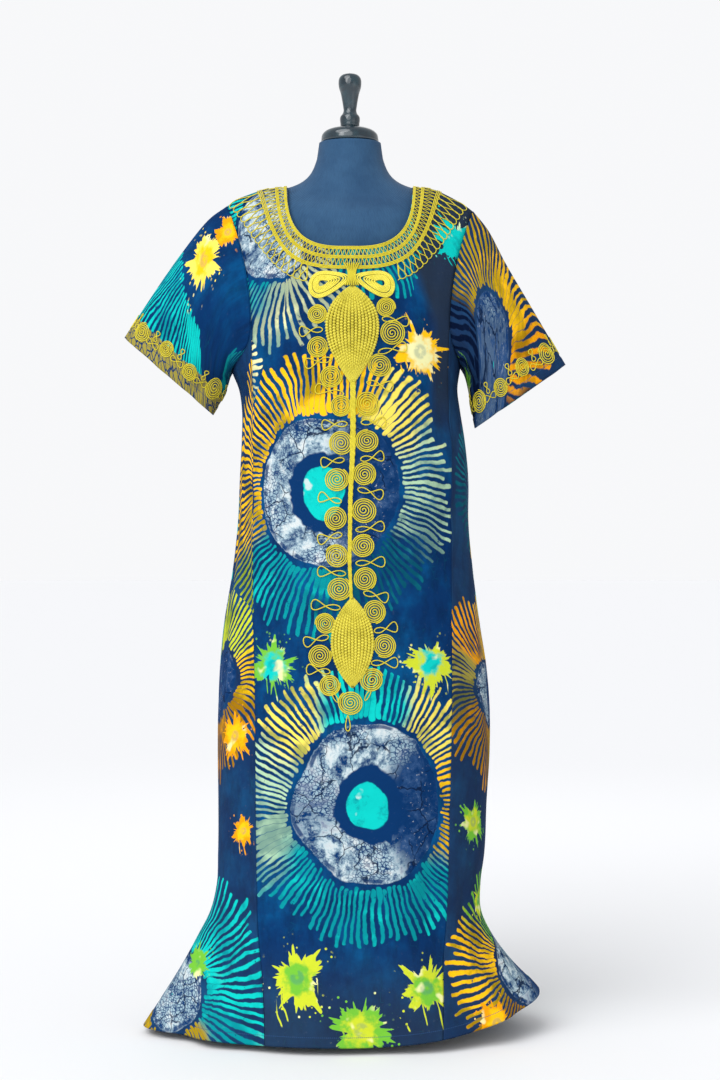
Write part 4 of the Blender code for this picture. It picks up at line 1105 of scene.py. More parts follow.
# %% Coils down the front
# across, height and radius of each coil, down the two sides of the embroidery
COILS_LEFT = (
    (-0.0532, 1.1970, 0.0163), (-0.0515, 1.1430, 0.0180), (-0.0303, 1.0953, 0.0187),
    (-0.0139, 1.0463, 0.0179), (-0.0139, 0.9859, 0.0202), (-0.0204, 0.9264, 0.0202),
    (-0.0228, 0.8630, 0.0195), (-0.0204, 0.8020, 0.0195), (-0.0171, 0.7484, 0.0201),
    (-0.0390, 0.6924, 0.0174), (-0.0486, 0.6396, 0.0195), (-0.0317, 0.5928, 0.0178),
)
COILS_RIGHT = (
    (0.0595, 1.2086, 0.0163), (0.0693, 1.1663, 0.0212), (0.0496, 1.1135, 0.0196),
    (0.0284, 1.0496, 0.0204), (0.0284, 0.9900, 0.0195), (0.0243, 0.9346, 0.0195),
    (0.0229, 0.8768, 0.0211), (0.0229, 0.8182, 0.0195), (0.0243, 0.7646, 0.0195),
    (0.0406, 0.7110, 0.0195), (0.0560, 0.6563, 0.0195), (0.0365, 0.6008, 0.0195),
)
COIL_AT_FOOT = (0.0014, 0.5646, 0.0203)
COIL_THREAD, LINK_THREAD, TIE_THREAD, TAIL_THREAD, HOOK_THREAD = (
    0.00106, 0.00092, 0.00125, 0.00085, 0.00078)
HOOKS = ((-1, -0.0235, 0.5730), (1, 0.0295, 0.5760))


def full_turn(points):
    """Angles once round a closed path, whose last point isn't its first one again."""
    return np.linspace(0.0, 2 * math.pi, points, endpoint=False)


def coil(places, sign, turns=5.1, points=200):
    """Spirals as (m, n) arrays of two coordinates: radius R(1 - 0.95 t^1.25) over the turns t."""
    places = np.atleast_2d(np.asarray(places, float))
    t = np.linspace(0.0, 1.0, points)
    start = places[:, :1] * 90.0 + places[:, 1:2] * 37.0
    angle = start + sign * turns * 2 * math.pi * t
    uneven = 1.0 + 0.035 * np.sin(angle + places[:, 1:2] * 60.0) + 0.02 * np.sin(2 * angle + start)
    radius = (places[:, 2:] - 0.0008) * (1.0 - 0.95 * t**1.25) * uneven
    return places[:, :1] + radius * np.cos(angle), places[:, 1:2] + radius * np.sin(angle)


def links(places, side, points=64):
    """Crossed loops between neighbouring coils: cosine of t across, sine of 2t up."""
    places = np.asarray(places, float)
    above, below = places[:-1], places[1:]
    middle = (above + below) / 2
    tilt = np.sin(40.0 * middle[:, 1:2]) * 0.25
    wide = 0.0215 + 0.0025 * np.sin(90.0 * middle[:, 1:2])
    t = full_turn(points)
    a = wide * np.cos(t)
    b = (0.0062 + 0.0030 * side * np.cos(t)) * np.sin(2 * t)
    x = middle[:, :1] + side * 0.0105 + a * np.cos(tilt) - b * np.sin(tilt)
    z = middle[:, 1:2] + a * np.sin(tilt) + b * np.cos(tilt)
    return x, z


def front_coils():
    """Coils and links down both sides, the coil at the foot, and the short cords that join them."""
    parts = []
    for places, side in ((COILS_LEFT, -1), (COILS_RIGHT, 1)):
        parts.append(laid_cord(front_cover, *coil(places, side), COIL_THREAD))
        parts.append(laid_cord(front_cover, *links(places, side), LINK_THREAD, True, UNDER))
    parts.append(laid_cord(front_cover, *coil(COIL_AT_FOOT, 1), COIL_THREAD))
    # A knot of short cords ties the bow to the tip of the upper oval.
    fan, share = np.linspace(-1.0, 1.0, 7)[:, None], np.linspace(0.0, 1.0, 24)[None, :]
    x = 0.0035 + fan * (0.0120 - 0.0060 * np.sin(math.pi * share) - 0.0010 * share)
    z = 1.2800 - 0.0370 * share + 0.0 * fan
    parts.append(laid_cord(front_cover, x, z, TIE_THREAD, lift=0.0018))
    # A teardrop hangs under the foot's coil, and a hook holds that coil on each side.
    t = full_turn(48)
    x = -0.0026 + 0.0040 * np.sin(t) * (1.0 - 0.55 * np.cos(t)) / 1.2
    z = 0.5310 + 0.0125 * np.cos(t)
    parts.append(laid_cord(front_cover, x, z, TAIL_THREAD, True))
    for sign, x0, z0 in HOOKS:
        x = x0 + 0.0030 * np.sin(t) + sign * 0.004 * np.cos(t)
        z = z0 + 0.0080 * np.cos(t)
        parts.append(laid_cord(front_cover, x, z, HOOK_THREAD, True, UNDER))
    return parts


coil_piece = sewn("coils_front", front_coils())

# %% [markdown]
# ## Coils round the cuffs
# The same coils and loops run round each cuff. Their places are measured on the sleeve's own
# cloth, as a distance round the cuff and a distance in from its edge, and then looked up on the
# sleeve's grid.


# %% Cuff embroidery
def sleeve_cover(grid):
    """Looks up a place (round the cuff, in from the edge) on the sleeve's grid of points."""
    points, lengths = grid[0], grid[-1]
    rows, cols = points.shape[:2]
    wrapped = np.concatenate([points, points[:, :1]], axis=1)
    ring = wrapped[-1]
    round_cuff = np.concatenate([[0.0], np.cumsum(np.linalg.norm(np.diff(ring, axis=0), axis=1))])
    long_edge = np.concatenate([lengths[-1], lengths[-1][:1]])

    def cover(a, b):
        column = np.interp(np.mod(a, round_cuff[-1]), round_cuff, np.arange(cols + 1.0))
        row = (rows - 1) * (1.0 - b / np.interp(column, np.arange(cols + 1.0), long_edge))
        i = np.clip(np.floor(row).astype(int), 0, rows - 2)
        j = np.clip(np.floor(column).astype(int), 0, cols - 1)
        p, q = (row - i)[..., None], (column - j)[..., None]
        return ((wrapped[i, j] * (1 - q) + wrapped[i, j + 1] * q) * (1 - p)
                + (wrapped[i + 1, j] * (1 - q) + wrapped[i + 1, j + 1] * q) * p)

    return cover, round_cuff[-1]


def cuff_parts(sign, table, count=9):
    """A ring of coils 30 mm in from the cuff's edge, each joined to the next by two loops."""
    grid = sleeve_grid(sign, table)
    cover, length = sleeve_cover(grid)
    middle = grid[0].mean(axis=1)[-8]
    number = np.arange(count)
    a = (number + 0.35) * length / count
    b = 0.030 + 0.003 * np.sin(number * 2.3)
    places = np.stack([a, b, 0.0150 + 0.0015 * np.sin(number * 1.7)], axis=1)
    t = full_turn(64)
    link_a = a[:, None] + length / count / 2 + 0.0125 * np.cos(t)
    link_b = b[:, None] - 0.004 + 0.0045 * np.sin(2 * t)
    small_a = a[:, None] + length / count / 2 + 0.0035 * np.sin(2 * t)
    small_b = b[:, None] + 0.010 + 0.0085 * np.cos(t)
    lines = [(coil(places, 1, 4.6, 160), 0.0009, False), ((link_a, link_b), 0.0008, True),
             ((small_a, small_b), 0.0008, True)]
    parts = []
    for (a, b), radius, closed in lines:
        points, normal = cover(a, b), normal_of(cover, a, b, 0.0006)
        normal = normal * np.sign(np.sum(normal * (points - middle), axis=-1, keepdims=True))
        parts.append(cord_parts(points + radius * 0.8 * normal, normal, radius, closed))
    return parts


cuff_pieces = [sewn("coils_cuff_left", cuff_parts(-1, SLEEVE_LEFT)),
               sewn("coils_cuff_right", cuff_parts(1, SLEEVE_RIGHT))]

# %% [markdown]
# ## A short hand for nodes
# The print is worked out by shader nodes, because a pattern made of formulas stays sharp at any
# distance and needs no picture. A wire stands for a socket, and + - * on wires add Math nodes, so
# that a formula reads as it would on paper.


# %% Wires
def plug(tree, value, slot):
    """Links a wire into a socket, or sets the socket to a plain value."""
    if isinstance(value, Wire):
        tree.links.new(value.socket, slot)
    else:
        slot.default_value = value


def calc(tree, operation, *values, clamp=False):
    node = tree.nodes.new("ShaderNodeMath")
    node.operation, node.use_clamp = operation, clamp
    for slot, value in zip(node.inputs, values):
        plug(tree, value, slot)
    return Wire(tree, node.outputs[0])


class Wire:
    """A socket on its way through a node tree."""

    def __init__(self, tree, socket):
        self.tree, self.socket = tree, socket

    def fade(self, low, high):
        """A smooth step from 0 at low to 1 at high; low may be the larger of the two."""
        node = self.tree.nodes.new("ShaderNodeMapRange")
        node.interpolation_type = "SMOOTHSTEP"
        for slot, value in zip(node.inputs, (self, low, high, 0.0, 1.0)):
            plug(self.tree, value, slot)
        return Wire(self.tree, node.outputs[0])


def wire_method(operation):
    """A Wire method that adds one Math node."""
    return lambda wire, *others: calc(wire.tree, operation, wire, *others)


for method, operation in (
        ("__add__", "ADD"), ("__sub__", "SUBTRACT"), ("__mul__", "MULTIPLY"),
        ("__truediv__", "DIVIDE"), ("most", "MAXIMUM"), ("least", "MINIMUM"),
        ("power", "POWER"), ("size", "ABSOLUTE"), ("sine", "SINE")):
    setattr(Wire, method, wire_method(operation))


def blend(tree, share, a, b, kind="RGBA"):
    """Mixes two colours, vectors or numbers."""
    node = tree.nodes.new("ShaderNodeMix")
    node.data_type = kind
    first, out = {"FLOAT": (2, 0), "VECTOR": (4, 1), "RGBA": (6, 2)}[kind]
    plug(tree, share, node.inputs[0])
    plug(tree, a, node.inputs[first])
    plug(tree, b, node.inputs[first + 1])
    return Wire(tree, node.outputs[out])


def vector(tree, operation, a, b=None, out=0, scale=None):
    node = tree.nodes.new("ShaderNodeVectorMath")
    node.operation = operation
    plug(tree, a, node.inputs[0])
    if b is not None:
        plug(tree, b, node.inputs[1])
    if scale is not None:
        plug(tree, scale, node.inputs["Scale"])
    return Wire(tree, node.outputs[out])


def join(tree, x=0.0, y=0.0, z=0.0):
    node = tree.nodes.new("ShaderNodeCombineXYZ")
    for slot, value in zip(node.inputs, (x, y, z)):
        plug(tree, value, slot)
    return Wire(tree, node.outputs[0])


def split(tree, value):
    node = tree.nodes.new("ShaderNodeSeparateXYZ")
    plug(tree, value, node.inputs[0])
    return [Wire(tree, slot) for slot in node.outputs]


def noise(tree, place, scale, detail=2.0, rough=0.5, colour=False):
    """Cloudy noise; its colour output holds three different clouds at once."""
    node = tree.nodes.new("ShaderNodeTexNoise")
    plug(tree, place, node.inputs["Vector"])
    for name, value in (("Scale", scale), ("Detail", detail), ("Roughness", rough)):
        plug(tree, value, node.inputs[name])
    return Wire(tree, node.outputs[1 if colour else 0])


def cells(tree, place, scale, feature="DISTANCE_TO_EDGE"):
    node = tree.nodes.new("ShaderNodeTexVoronoi")
    node.feature = feature
    plug(tree, place, node.inputs["Vector"])
    plug(tree, scale, node.inputs["Scale"])
    return Wire(tree, node.outputs[0])


def chance(tree, value):
    """Three random numbers for each whole number."""
    node = tree.nodes.new("ShaderNodeTexWhiteNoise")
    node.noise_dimensions = "1D"
    plug(tree, value, node.inputs["W"])
    return split(tree, Wire(tree, node.outputs["Color"]))


def bump(tree, height, strength, distance, under=None):
    """A normal bent by a height in metres, on top of the normal under it."""
    node = tree.nodes.new("ShaderNodeBump")
    node.inputs["Strength"].default_value = strength
    node.inputs["Distance"].default_value = distance
    plug(tree, height, node.inputs["Height"])
    if under is not None:
        plug(tree, under, node.inputs["Normal"])
    return Wire(tree, node.outputs[0])


def cloth_place(tree):
    """The piece's own map in metres, across and along its cloth or cord."""
    node = tree.nodes.new("ShaderNodeUVMap")
    node.uv_map = "cloth"
    return Wire(tree, node.outputs[0])


def object_place(tree):
    return Wire(tree, tree.nodes.new("ShaderNodeTexCoord").outputs["Object"])


def length_of(x, y):
    return (x * x + y * y).power(0.5)


def finish(tree, colour, rough, normal):
    """Plugs a look's three wires into the material's Principled shader, which it returns."""
    shader = tree.nodes["Principled BSDF"]
    for socket, wire in (("Base Color", colour), ("Roughness", rough), ("Normal", normal)):
        plug(tree, wire, shader.inputs[socket])
    return shader


def new_group(name, inputs, outputs):
    """A node group with named sockets, and its inputs as wires by name."""
    tree = bpy.data.node_groups.new(name, "ShaderNodeTree")
    for label, kind in inputs:
        tree.interface.new_socket(label, in_out="INPUT", socket_type="NodeSocket" + kind)
    for label, kind in outputs:
        tree.interface.new_socket(label, in_out="OUTPUT", socket_type="NodeSocket" + kind)
    source = tree.nodes.new("NodeGroupInput")
    wires = {label: Wire(tree, source.outputs[label]) for label, _ in inputs}
    return tree, wires, tree.nodes.new("NodeGroupOutput")


def use(tree, group, **values):
    """Places a group in a tree and returns its outputs by name. Underscores stand for spaces."""
    node = tree.nodes.new("ShaderNodeGroup")
    node.node_tree = group
    for label, value in values.items():
        plug(tree, value, node.inputs[label.replace("_", " ")])
    return {slot.name: Wire(tree, slot) for slot in node.outputs}


print("short hand ready")

# %% [markdown]
# ## Colours of the dye
# Batik cloth is dyed from the palest bath to the darkest, and wax keeps each bath's colour where it
# lies. So the print is a few pure colours on navy, with cloudy edges where two baths met. A dye is
# a colour's three linear shares of light and a 1.

# %% Dye table
NAVY = (0.0020, 0.0300, 0.1180, 1)
ROYAL = (0.0015, 0.0800, 0.2300, 1)
INK = (0.0020, 0.0110, 0.0420, 1)
# Painted shade, not a dye: this charcoal darkens the ground where a panel should look shaded.
SHADE_CHARCOAL = (0.0180, 0.0310, 0.0580, 1)
GOLD = (0.9500, 0.5300, 0.0080, 1)
AMBER = (0.8200, 0.3300, 0.0040, 1)
LEMON = (0.8700, 0.7100, 0.1100, 1)
CREAM = (0.8600, 0.8300, 0.4200, 1)
LEAF = (0.1600, 0.4800, 0.0400, 1)
LIME = (0.5600, 0.6400, 0.0300, 1)
TURQUOISE = (0.0030, 0.5400, 0.4900, 1)
TEAL = (0.0030, 0.1500, 0.2000, 1)
ASH = (0.6200, 0.6600, 0.6600, 1)
WAX_GREY = (0.3400, 0.4900, 0.5600, 1)
SLATE = (0.0300, 0.0800, 0.2000, 1)
OLIVE = (0.3200, 0.2700, 0.0500, 1)
MIST = (0.4200, 0.6200, 0.4000, 1)
WRONG_SIDE = (0.0500, 0.1100, 0.2400, 1)
SECOND_BATH = (0.24, 0.34, 0.48)
print("navy", NAVY[:3], "gold", GOLD[:3])

# %% [markdown]
# ## The sunburst
# The print's main figure is a roundel with rays drawn by hand in wax: an eye, a dark ring, a disc
# that cracked as the wax cooled, and a crown of finger-like strokes. Each ray is found from the
# angle round the centre: the angle is cut into as many cells as there are rays, and each cell holds
# one stroke with round ends whose length and width come from a random number of its own.


# %% Sunburst group
def sunburst_group():
    """A roundel: rays round a crown of seven colours, a cracked disc, an eye in a dark ring."""
    corners = ("Top Left", "Top", "Top Right", "Right", "Foot Right", "Foot Left", "Left")
    tree, at, out = new_group(
        "sunburst",
        [("Place", "Vector"), ("Centre", "Vector"), ("Rays", "Vector"), ("Eye", "Vector"),
         ("Shade", "Vector")] + [(c, "Color") for c in corners],
        [("Colour", "Color"), ("Cover", "Float")])
    centre_x, centre_y, disc = split(tree, at["Centre"])
    reach, count, seed = split(tree, at["Rays"])
    eye_x, eye_y, eye = split(tree, at["Eye"])
    shade_right, shade_sides, shade_from = split(tree, at["Shade"])
    wander = noise(tree, at["Place"], 26.0, 3.0, 0.6, colour=True)
    wander = vector(tree, "SUBTRACT", wander, (0.5, 0.5, 0.5))
    slow = noise(tree, at["Place"], 7.0, 1.0, colour=True)
    slow = vector(tree, "SUBTRACT", slow, (0.5, 0.5, 0.5))
    place = vector(tree, "ADD", at["Place"], vector(tree, "SCALE", wander, scale=0.011))
    place = vector(tree, "ADD", place, vector(tree, "SCALE", slow, scale=0.040))
    x, y, _ = split(tree, place)
    x, y = x - centre_x, y - centre_y
    radius = length_of(x, y).most(0.0001)
    across, up = x / radius, y / radius
    turn = calc(tree, "ARCTAN2", y, x) / (2 * math.pi)
    around = noise(tree, join(tree, across, up, seed), 1.6, 2.0)
    finer = noise(tree, join(tree, across, up, seed + 4.0), 5.0, 1.0)

    # One stroke in each cell of the angle, its ends rounded by the distance beyond them.
    phase = turn * count + (noise(tree, place, 30.0, 1.0) - 0.5) * 0.5
    cell = calc(tree, "FLOOR", phase)
    wide, long, start = chance(tree, calc(tree, "MODULO", cell + count * 2.0, count) + seed * 61.0)
    pitch = radius * (2 * math.pi) / count
    root = disc + around.fade(0.42, 0.68) * 0.060 * finer.fade(0.20, 0.6) + 0.004
    filled = radius.fade(root + 0.010, root - 0.010)
    thin = (pitch * (wide * 0.13 + 0.17)).least(wide * 0.0014 + 0.0022)
    half = thin + (pitch * (finer * 0.16 + 0.38) - thin) * filled
    aside = (phase - cell - 0.5).size() * pitch
    far = reach * (long * 0.13 + around * 0.36 + 0.76)
    near = disc + start * 0.008 + 0.0040
    beyond = (radius - far + half).most(near + half - radius).most(0.0)
    gap = length_of(aside, beyond) - half
    stroke = gap.fade(0.0009, -0.0007)
    worn = noise(tree, place, 75.0, 4.0, 0.7)
    rays = stroke * worn.fade(0.29, 0.38)

    # Seven colours round the crown, their borders pushed about by clouds.
    drift = (noise(tree, place, 13.0, 2.0) - 0.5) * 1.5
    side = across + drift
    top = blend(tree, side.fade(-0.3, 0.3), at["Top Left"], at["Top Right"])
    foot = blend(tree, side.fade(-0.3, 0.3), at["Foot Left"], at["Foot Right"])
    colour = blend(tree, (up + drift * 0.6).fade(-0.25, 0.25), foot, top)
    flank = blend(tree, across.fade(-0.1, 0.1), at["Left"], at["Right"])
    colour = blend(tree, (across.size() + drift * 0.25).fade(0.78, 0.93), colour, flank)
    colour = blend(tree, (up + drift * 0.15).fade(0.86, 0.95), colour, at["Top"])
    deeper = noise(tree, place, 48.0, 3.0, 0.6)
    dim = radius.fade(disc + 0.075, disc + 0.010) * up.fade(0.15, -0.25) * deeper.fade(0.30, 0.55)
    # A second bath dulled some strokes, most of all those at the foot.
    bath = noise(tree, place, 17.0, 3.0, 0.6) + up.fade(0.1, -0.7) * 0.16
    dulled = vector(tree, "MULTIPLY", colour, SECOND_BATH)
    colour = blend(tree, (dim * 0.85).most(bath.fade(0.44, 0.66) * 0.80), colour, dulled)

    # The disc: marbled grey, darker where the shade asks, crossed by wax cracks.
    marble = noise(tree, place, 38.0, 8.0, 0.72)
    lean = across * shade_right + across.size() * shade_sides - shade_from
    shaded = (lean + (marble - 0.5) * 1.6).fade(-0.16, 0.22)
    pebbles = vector(tree, "ADD", place, vector(tree, "SCALE", wander, scale=0.006))
    pebbles = cells(tree, pebbles, 170.0)
    cracked = pebbles.fade(0.02, 0.16) * marble.fade(0.33, 0.47) * 0.85
    clouded = marble.fade(0.38, 0.58)
    lit = blend(tree, noise(tree, place, 9.0, 1.0).fade(0.42, 0.56), clouded, cracked, "FLOAT")
    lit = lit + marble.fade(0.50, 0.62) * 0.4
    light = blend(tree, lit.least(1.0), NAVY, blend(tree, marble.fade(0.46, 0.66), WAX_GREY, ASH))
    dark = blend(tree, marble.fade(0.42, 0.66), NAVY, SLATE)
    dark = blend(tree, marble.fade(0.60, 0.72) * 0.45, dark, ASH)
    inner = blend(tree, shaded, light, dark)
    speck = noise(tree, place, 190.0, 4.0, 0.7)
    inner = blend(tree, speck.fade(0.62, 0.72) * 0.8, inner, ASH)
    bent = vector(tree, "ADD", at["Place"], vector(tree, "SCALE", wander, scale=0.030))
    crack = cells(tree, bent, 24.0).fade(0.030, 0.012)
    crack = crack * noise(tree, place, 20.0, 1.0).fade(0.42, 0.52)
    inner = blend(tree, crack * 0.9, inner, INK)
    rim = (radius - disc + 0.004).size().fade(0.0045, 0.002) * finer.fade(0.40, 0.55)
    inner = blend(tree, rim * 0.85, inner, NAVY)

    # The eye and its dark ring.
    ex, ey = x - eye_x, y - eye_y
    out_of_eye = (ex * ex + ey * ey * 0.86).power(0.5)
    ring_edge = eye * (finer * 0.34 + 1.42)
    inner = blend(tree, out_of_eye.fade(ring_edge + 0.002, ring_edge - 0.002), inner, NAVY)
    pupil = blend(tree, marble.fade(0.50, 0.70) * 0.7, TURQUOISE, TEAL)
    pupil = blend(tree, noise(tree, place, 33.0, 2.0).fade(0.64, 0.72) * 0.8, pupil, ASH)
    in_eye = out_of_eye.fade(eye + 0.0012, eye - 0.0012)
    inner = blend(tree, in_eye, inner, pupil)
    shown = eye.fade(-0.002, -0.001)
    in_disc = radius.fade(disc + 0.0012, disc - 0.0012) * shown
    within = radius.fade(disc + 0.0034, disc + 0.0026) * shown
    plug(tree, blend(tree, within, colour, inner), out.inputs["Colour"])
    plug(tree, rays.most(in_disc), out.inputs["Cover"])
    return tree


SUNBURST = sunburst_group()
print("sunburst group:", len(SUNBURST.nodes), "nodes")

# %% [markdown]
# ## The splash
# Between the roundels, hot wax was thrown on the cloth from a brush. A splash is a blot whose edge
# runs out in spikes, with drips under it and droplets round it. The edge is a noise read round the
# circle of directions, so it closes on itself.


# %% Splash group
DRIP_PITCH = 0.0130
DROPS_TO_METRE = 105.0


def splash_group():
    """A blot whose edge runs out in spikes, with drips under it and droplets round it."""
    tree, at, out = new_group(
        "splash", [("Place", "Vector"), ("Centre", "Vector"), ("Seed", "Float"),
                   ("Inner", "Color"), ("Outer", "Color")],
        [("Colour", "Color"), ("Cover", "Float")])
    centre_x, centre_y, size = split(tree, at["Centre"])
    x, y, _ = split(tree, at["Place"])
    x, y = x - centre_x, y - centre_y
    radius = length_of(x, y).most(0.0001)
    across, up = x / radius, y / radius
    lumps = noise(tree, join(tree, across, up, at["Seed"]), 1.7, 2.0)
    spikes = noise(tree, join(tree, across, up, at["Seed"] + 3.0), 4.6, 2.0, 0.6)
    spike = ((spikes - 0.46) * 2.2).most(0.0).power(1.5)
    edge = size * (lumps * 1.7 + spike * 1.5 - 0.05)
    blot = radius.fade(edge + 0.0016, edge - 0.0010)
    column = (x + y * 0.25 + (lumps - 0.5) * 0.02) / DRIP_PITCH
    length, middle, _ = chance(tree, calc(tree, "FLOOR", column) + at["Seed"] * 37.0)
    beside = (calc(tree, "FRACT", column) - middle * 0.5 - 0.25).size()
    drip = beside.fade(0.12, 0.05) * (y + size * (length * length * 1.5 + 0.40)).fade(-0.002, 0.002)
    drip = drip * y.fade(0.001, -0.001) * (x.size() - size * 0.8).fade(0.001, -0.001)
    shifted = vector(tree, "ADD", at["Place"], join(tree, at["Seed"], 0.0, 0.0))
    dots = cells(tree, shifted, DROPS_TO_METRE, "F1")
    drops = dots.fade(0.24, 0.18) * lumps.fade(0.46, 0.56)
    drops = drops * (radius - size * 1.6).fade(0.004, -0.004)
    cloud = noise(tree, at["Place"], 42.0, 3.0, 0.6)
    share = (radius / size + (cloud - 0.5) * 1.9).fade(0.30, 0.78)
    colour = blend(tree, share, at["Inner"], at["Outer"])
    colour = blend(tree, noise(tree, at["Place"], 31.0, 2.0).fade(0.56, 0.66) * 0.8, colour, CREAM)
    ring = (radius / size - 0.17).size().fade(0.16, 0.04) * cloud.fade(0.36, 0.50)
    plug(tree, blend(tree, ring * 0.35, colour, TEAL), out.inputs["Colour"])
    plug(tree, blot.most(drip).most(drops), out.inputs["Cover"])
    return tree


SPLASH = splash_group()
print("splash group:", len(SPLASH.nodes), "nodes")

# %% [markdown]
# ## The ground, the weave and the sewing
# The dark ground is never even, since the cloth was crumpled in the dye bath. Thin threads cross it
# at 0.7 mm, and stitches run along the hems. Each effect is a group of its own, because the body
# and the sleeves need them with other values.


# %% Ground, weave and sewing groups
STITCH_PITCH = 0.0032


def ground_group():
    """Two dark dyes in clouds, streaks of ink, and painted shade in charcoal laid over both where
    asked.
    """
    tree, at, out = new_group(
        "dye_ground",
        [("Place", "Vector"), ("Base", "Color"), ("Second", "Color"), ("Dark", "Float")],
        [("Colour", "Color")])
    cloud = noise(tree, at["Place"], 9.0, 5.0, 0.6)
    streak = noise(tree, vector(tree, "MULTIPLY", at["Place"], (1.0, 0.35, 1.0)), 45.0, 5.0, 0.65)
    colour = blend(tree, cloud.fade(0.40, 0.68), at["Base"], at["Second"])
    colour = blend(tree, streak.fade(0.40, 0.66) * 0.45, colour, INK)
    # Painted shade: charcoal laid over the dyes as far as the panel's shade share asks, unevenly
    # with the clouds.
    colour = blend(tree, at["Dark"] * (cloud * 0.6 + 0.65), colour, SHADE_CHARCOAL)
    fine = cells(tree, at["Place"], 70.0).fade(0.035, 0.010) * streak.fade(0.55, 0.65)
    plug(tree, blend(tree, fine * 0.20, colour, TEAL), out.inputs["Colour"])
    return tree


def weave_group():
    """Over-and-under threads: the product of two sines, one across and one along the cloth."""
    tree, at, out = new_group("plain_weave", [("Place", "Vector"), ("Thread", "Float")],
                              [("Height", "Float")])
    x, y, _ = split(tree, at["Place"])
    warp, weft = (x / at["Thread"] * math.pi).sine(), (y / at["Thread"] * math.pi).sine()
    slub = noise(tree, vector(tree, "MULTIPLY", at["Place"], (1.0, 0.08, 1.0)), 900.0, 2.0)
    plug(tree, warp * weft * 0.5 + slub, out.inputs["Height"])
    return tree


def sewing_group():
    """Dashes of a stitch line at a distance from the hem, and puckers along a seam."""
    tree, at, out = new_group(
        "sewing", [("Place", "Vector"), ("Hem", "Float"), ("Margin", "Float"), ("Line", "Float")],
        [("Stitch", "Float"), ("Pucker", "Float")])
    x, y, _ = split(tree, at["Place"])
    dash = (calc(tree, "FRACT", x / STITCH_PITCH) - 0.5).size().fade(0.36, 0.30)
    stitch = (at["Hem"] - at["Line"]).size().fade(0.0007, 0.0003) * dash
    waves = noise(tree, join(tree, at["Margin"] * 0.25, y, 0.0), 85.0, 2.0)
    fade = at["Margin"].fade(0.020, 0.001)
    groove = at["Margin"].fade(0.0018, 0.0002)
    plug(tree, stitch, out.inputs["Stitch"])
    plug(tree, waves * fade - groove * 0.8 - stitch * 0.3, out.inputs["Pucker"])
    return tree


GROUND, WEAVE, SEWING = ground_group(), weave_group(), sewing_group()
print("ground, weave and sewing groups")

# %% [markdown]
# ## One batik for every panel
# A panel's material holds two tables: its sunbursts and its splashes, placed in metres on that
# panel's own cloth. Drawing each figure separately would repeat the whole group many times, so the
# material first picks the nearest centre from the table and then draws one figure with its values.
# The cloth's wrong side shows the same print, paler, since the dye goes through.


# %% Batik materials
def nearest(tree, place, table, scale_at):
    """Walks down a table of rows and keeps the row whose centre is nearest for its own size."""
    kept = None
    for row in table:
        gap = vector(tree, "SUBTRACT", place, (*row[0][:2], 0.0))
        far = vector(tree, "LENGTH", gap, out=1) * (1.0 / scale_at(row))
        if kept is None:
            kept, best = list(row), far
            continue
        closer = calc(tree, "LESS_THAN", far, best)
        kept = [blend(tree, closer, a, b, "VECTOR" if len(b) == 3 else "RGBA")
                if not (isinstance(a, tuple) and a == b) else b for a, b in zip(kept, row)]
        best = far.least(best)
    return kept


def attribute(tree, name):
    node = tree.nodes.new("ShaderNodeAttribute")
    node.attribute_name = name
    return Wire(tree, node.outputs["Fac"])


THREAD_PITCH = 0.0007
STITCH_LINE = 0.0165  # the hem's stitches, up from its edge


